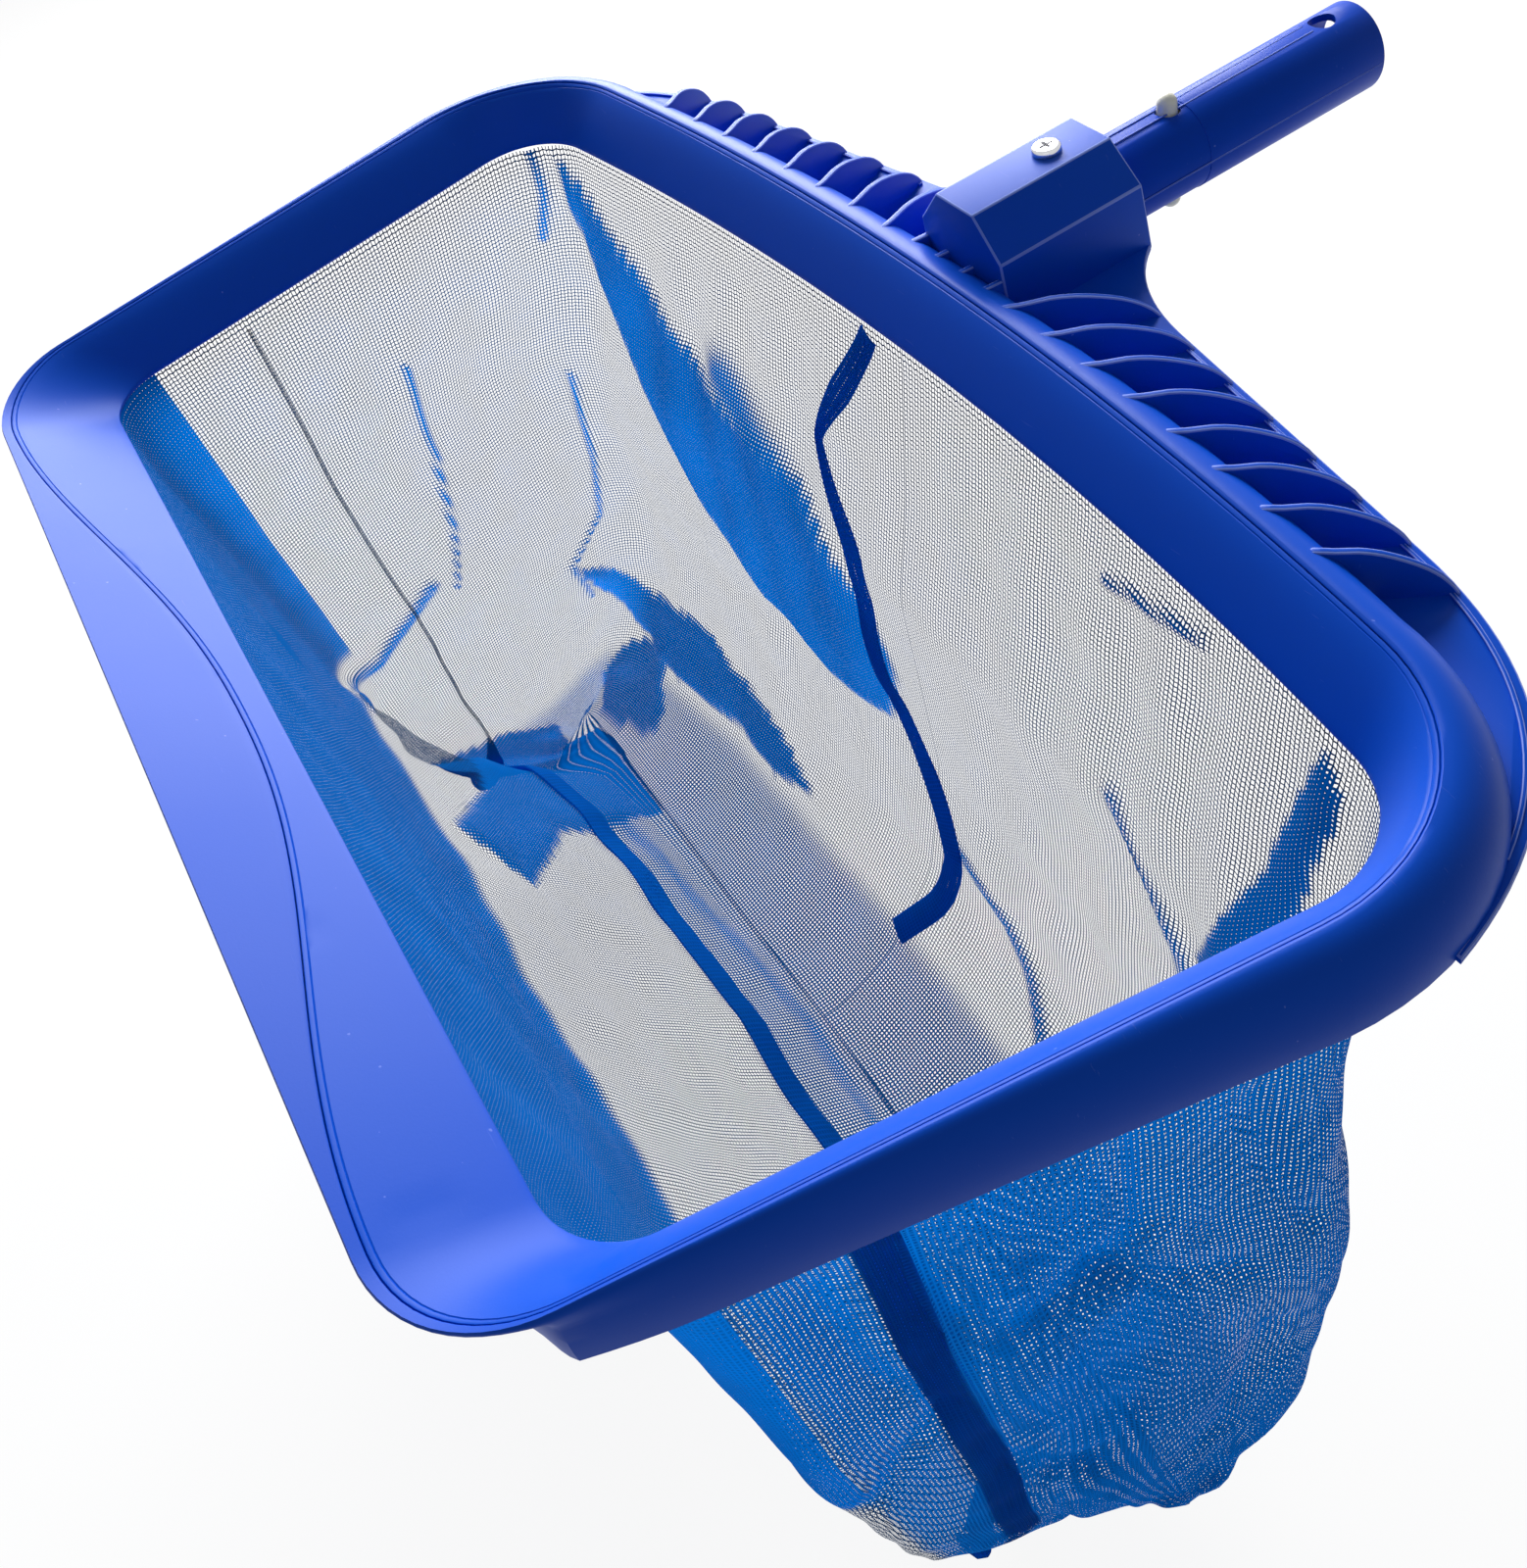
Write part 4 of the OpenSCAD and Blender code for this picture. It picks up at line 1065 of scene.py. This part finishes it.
class SKIMMER_OT_net(bpy.types.Operator):
    """Build the three net panels, their seam bands and the hem"""

    bl_idname = "skimmer.net"
    bl_label = "Net bag"

    def execute(self, context):
        rim = Rim(context.scene.skimmer_rim)
        s = context.scene.skimmer_net
        bag = Bag(rim, s)
        fine = 2
        sides = [n * fine for n in (30, 10, 10, 18, 12, 34)]
        half = spread([0, 1, 2, SIDE_SEAM, 3, 4, 5], sides)
        front = spread([0, 1, 2, SIDE_SEAM], sides[:3])
        rows = spread([0, 0.53, LOW_SEAM, 1.0, BAG_END], [22 * fine, 20 * fine, 4 * fine, 3 * fine])
        front_rows = spread([0, 0.53, LOW_SEAM], [22 * fine, 20 * fine])
        both = [-u for u in front[:0:-1]] + front
        hem = add_piece(rim_loft("hem"), "net_hem_tape", "Net hem", ("net_hem",))
        tapes = [self.long_band(bag, s), self.back_band(bag, s)]
        panel = net_panel("net_front", bag, "net_front_panel", both, front_rows, lambda u, v: True)
        for side, word, tape in ((-1, "left", tapes[0]), (1, "right", tapes[1])):
            columns = [side * u for u in half]
            panel = net_panel("net_back_" + word, bag, "net_back_%s_panel" % word, columns, rows,
                              lambda u, v: abs(u) > SIDE_SEAM or v > LOW_SEAM)
        return {"FINISHED"}

    # A tape's rough length in millimetres for one step round the bag and for its full depth
    path_scale = (122.0, 345.0)
    tape_step = 3.0
    tape_lift = 1.6
    ribs = 9

    def band(self, bag, s, name, node, path):
        """A ribbed tape laid along a path of (place round the bag, depth, width, density); the
        density also paints light on the tape.
        """
        path = np.array(path, float)
        flat = path[:, :2] * self.path_scale
        steps = np.concatenate(([0.0], np.cumsum(np.linalg.norm(np.diff(flat, axis=0), axis=1))))
        count = int(steps[-1] / self.tape_step)
        at = np.linspace(0, steps[-1], count + 1)
        u, v, broad, density_and_light = (np.interp(at, steps, path[:, k]) for k in range(4))
        u = np.where(u < -5, u + 10, u)
        centre, n, _ = bag.surface(u, v, self.tape_lift)
        for _ in range(3):
            centre[1:-1] = (centre[:-2] + 2 * centre[1:-1] + centre[2:]) / 4
            n[1:-1] = (n[:-2] + 2 * n[1:-1] + n[2:]) / 4
        along = np.gradient(centre, axis=0)
        across = np.cross(n, along)
        across /= np.linalg.norm(across, axis=1, keepdims=True)
        wide = s.band / MM / 2
        section = [(mix(-1, 1, k / 18), 0.5 + 0.22 * sin(k * pi / 18 * self.ribs) ** 2)
                   for k in range(19)]
        section += [(mix(1, -1, k / 6), -0.35) for k in range(7)]
        m = len(section)
        bm = bmesh.new()
        cloth = bm.loops.layers.uv.new("cloth")

        def place(i, j):
            a, b = section[j % m]
            crown = 0.6 * (1 - a * a)
            return Vector(centre[i] + across[i] * a * wide * broad[i] + n[i] * (b + crown))

        layer = bm.verts.layers.float.new("gather_and_light")
        where = grid(bm, count, m, place)
        for vert, (i, _) in where.items():
            vert[layer] = float(density_and_light[i])
        for f in bm.faces:
            for loop in f.loops:
                i, j = where[loop.vert]
                loop[cloth].uv = (at[i], j * 0.8)
        bmesh.ops.remove_doubles(bm, verts=bm.verts[:], dist=1e-5)
        bmesh.ops.holes_fill(bm, edges=[e for e in bm.edges if e.is_boundary], sides=0)
        return add_piece(bm, name, "Seam tape", (node,), angle=50)

    def long_band(self, bag, s):
        right = [(SIDE_SEAM, v, 1, 0.9) for v in (0.01, 0.2, 0.4, 0.6, 0.8, 0.88)]
        right += [(t, LOW_SEAM, 1, 0.9) for t in (2.1, 1.8, 1.4, 1.0, 0.6, 0.2)]
        left = [(-t, LOW_SEAM, 1, 0.9) for t in (0.2, 0.6, 1.0, 1.4, 1.8, 2.1)]
        left += [(-SIDE_SEAM, v, 0.12, 0.0) for v in (0.88, 0.8, 0.6, 0.4, 0.2, 0.01)]
        return self.band(bag, s, "long_seam_tape", "long_seam_band", right + left)

    def back_band(self, bag, s):
        path = [(-4.92, 0.005, 0.7, 0.9), (-4.83, 0.1, 0.9, 0.8), (-4.75, 0.19, 0.3, 1),
                (-4.86, 0.31, 0.9, 0.8), (-4.89, 0.52, 1, 0.85), (-4.96, 0.64, 1, 0.9),
                (-5.03, 0.70, 1, 0.9), (-5.08, 0.76, 1, 0.9), (-5.06, 0.85, 1, 0.9),
                (-5.0, 0.92, 1, 0.9)]
        return self.band(bag, s, "back_seam_tape", "back_seam_band", path)


# ---- handle pieces


class SKIMMER_OT_handle(bpy.types.Operator):
    """Build the handle tube with its guide lines"""

    bl_idname = "skimmer.handle"
    bl_label = "Handle tube"
    tube_r = 14.25
    line_wide = 0.5

    def execute(self, context):
        copy_of("handle_tube", "tube", "Tube plastic", 0.3)
        bm = bmesh.new()
        for x in (-2.3, 2.3):
            self.line(bm, x, sqrt(self.tube_r**2 - x * x) - 0.35, (-97.5, -18.5))
        for x in (-14.05, 14.05):
            self.line(bm, x, -1.2, (-97.5, -0.6))
        add_piece(bm, "tube_guides", "Tube plastic", row_frame=True)
        return {"FINISHED"}

    def line(self, bm, x, z, span):
        made = bmesh.ops.create_cube(bm, size=1.0)["verts"]
        size = (self.line_wide, span[1] - span[0], self.line_wide)
        bmesh.ops.scale(bm, vec=size, verts=made)
        bmesh.ops.translate(bm, vec=(x, sum(span) / 2, z + 0.25), verts=made)
        edges = {e for v in made for e in v.link_edges}
        round_edges(bm, [e for e in edges if abs(e.verts[0].co.y - e.verts[1].co.y) > 1], 0.12)


class SKIMMER_OT_fasteners(bpy.types.Operator):
    """Finish the handle screw and the spring clip with its two buttons"""

    bl_idname = "skimmer.fasteners"
    bl_label = "Screw and clip"

    def execute(self, context):
        copy_of("handle_screw", "screw", "Screw steel", 0.12)
        copy_of("clip_bend", "clip_spring_bend", "Ivory plastic", 0.15)
        for leg in ("upper", "lower"):
            copy_of(f"clip_{leg}_leg", f"clip_spring_{leg}", "Ivory plastic", 0.2, leg + "_leg")
        return {"FINISHED"}


# ---- stage


def white_where_seen(tree, shader, white, surface, share):
    """Feeds a surface a shader that goes white, by a share, for camera, gloss and glass rays."""
    path = tree.nodes.new("ShaderNodeLightPath")
    seen = maths(tree, "MAXIMUM", path.outputs["Is Camera Ray"], path.outputs["Is Glossy Ray"])
    seen = maths(tree, "MAXIMUM", seen, path.outputs["Is Transmission Ray"])
    both = new_node(tree, "MixShader", {0: maths(tree, "MULTIPLY", seen, share),
                                        1: shader.outputs[0], 2: white.outputs[0]})
    link(tree, surface.inputs["Surface"], both.outputs[0])


# The lamps face the middle of the object
AIM = Vector((0, -0.28, -0.05))
LAMP_SIZE = 1.2
FLOOR_HALF = 4.0


class SKIMMER_OT_stage(bpy.types.Operator):
    """Build the camera, the soft lights, the world and the floor"""

    bl_idname = "skimmer.stage"
    bl_label = "Stage"

    def execute(self, context):
        scene = context.scene
        s = scene.skimmer_stage
        scene.view_settings.view_transform = "Standard"
        cam = bpy.data.cameras.new("camera")
        cam.sensor_width = 36.0
        cam.sensor_fit = "AUTO"
        cam.lens = 36.0
        cam.shift_x = 0.00369
        cam.shift_y = -0.01019
        cam.clip_end = 20.0
        eye = new_object("camera", cam)
        eye.location = (0.362451, -0.365196, 0.276484)
        eye.rotation_euler = [radians(a) for a in (39.6813845, 13.54143208, 59.26775769)]
        scene.camera = eye
        self.lamp("key", (-0.80, 0.40, 0.45), 1.5, s.key_power)
        self.lamp("fill", (0.55, -0.45, 0.7), 1.9, s.fill_power)
        self.world(scene)
        self.floor(-s.floor_drop)
        return {"FINISHED"}

    def lamp(self, name, direction, far, energy):
        light = bpy.data.lights.new(name, "AREA")
        light.shape = "DISK"
        light.size = LAMP_SIZE
        light.energy = energy
        obj = new_object(name, light)
        way = Vector(direction).normalized()
        obj.location = AIM + way * far
        obj.rotation_euler = way.to_track_quat("Z", "Y").to_euler()

    def world(self, scene):
        world = bpy.data.worlds.new("studio")
        world.use_nodes = True
        scene.world = world
        tree = world.node_tree
        tree.nodes.clear()
        out = tree.nodes.new("ShaderNodeOutputWorld")
        dim, white = (new_node(tree, "Background", {"Color": tint, "Strength": strength})
                      for tint, strength in (((0.86, 0.92, 1.0), 0.25), ((1.0, 1.0, 1.0), 1.0)))
        white_where_seen(tree, dim, white, out, 1.0)

    def floor(self, height):
        bm = bmesh.new()
        bmesh.ops.create_grid(bm, x_segments=1, y_segments=1, size=FLOOR_HALF)
        bmesh.ops.translate(bm, vec=(0, 0, height), verts=bm.verts[:])
        m, tree, shader = new_material("Floor white")
        fill(tree, shader, {"Base Color": (0.82, 0.82, 0.82), "Roughness": 0.9,
                            "Specular IOR Level": 0.0})
        white = new_node(tree, "Emission", {"Color": (1.0, 1.0, 1.0)})
        white_where_seen(tree, shader, white, tree.nodes["Material Output"], 0.9)
        mesh_object(bm, "floor", m)


class SKIMMER_PT_panel(bpy.types.Panel):
    """Sizes, finishes and build steps of the leaf skimmer net"""

    bl_label = "Leaf skimmer net"
    bl_idname = "SKIMMER_PT_panel"
    bl_space_type = "VIEW_3D"
    bl_region_type = "UI"
    bl_category = "Skimmer"

    def draw(self, context):
        layout = self.layout
        for owner in ("skimmer_rim", "skimmer_net", "skimmer_finish", "skimmer_stage"):
            settings = getattr(context.scene, owner)
            box = layout.box()
            for key in own_keys(settings):
                box.prop(settings, key)
        for step in STEPS:
            layout.operator(step.bl_idname)


STEPS = (SKIMMER_OT_stage, SKIMMER_OT_outer_frame, SKIMMER_OT_clamp_ring, SKIMMER_OT_net,
         SKIMMER_OT_handle, SKIMMER_OT_fasteners)
SETTINGS = {"skimmer_rim": SkimmerRimSettings, "skimmer_net": SkimmerNetSettings,
            "skimmer_finish": SkimmerFinishSettings, "skimmer_stage": SkimmerStageSettings}


def register():
    for cls in (*SETTINGS.values(), *STEPS, SKIMMER_PT_panel):
        bpy.utils.register_class(cls)
    for key, cls in SETTINGS.items():
        setattr(bpy.types.Scene, key, bpy.props.PointerProperty(type=cls))


def unregister():
    for key in SETTINGS:
        delattr(bpy.types.Scene, key)
    for cls in (SKIMMER_PT_panel, *STEPS[::-1], *list(SETTINGS.values())[::-1]):
        bpy.utils.unregister_class(cls)


def main():
    register()
    bpy.ops.skimmer.stage()
    bpy.ops.skimmer.outer_frame()
    bpy.ops.skimmer.clamp_ring()
    bpy.ops.skimmer.net()
    bpy.ops.skimmer.handle()
    bpy.ops.skimmer.fasteners()
    bpy.context.view_layer.update()


if __name__ == "__main__":
    main()
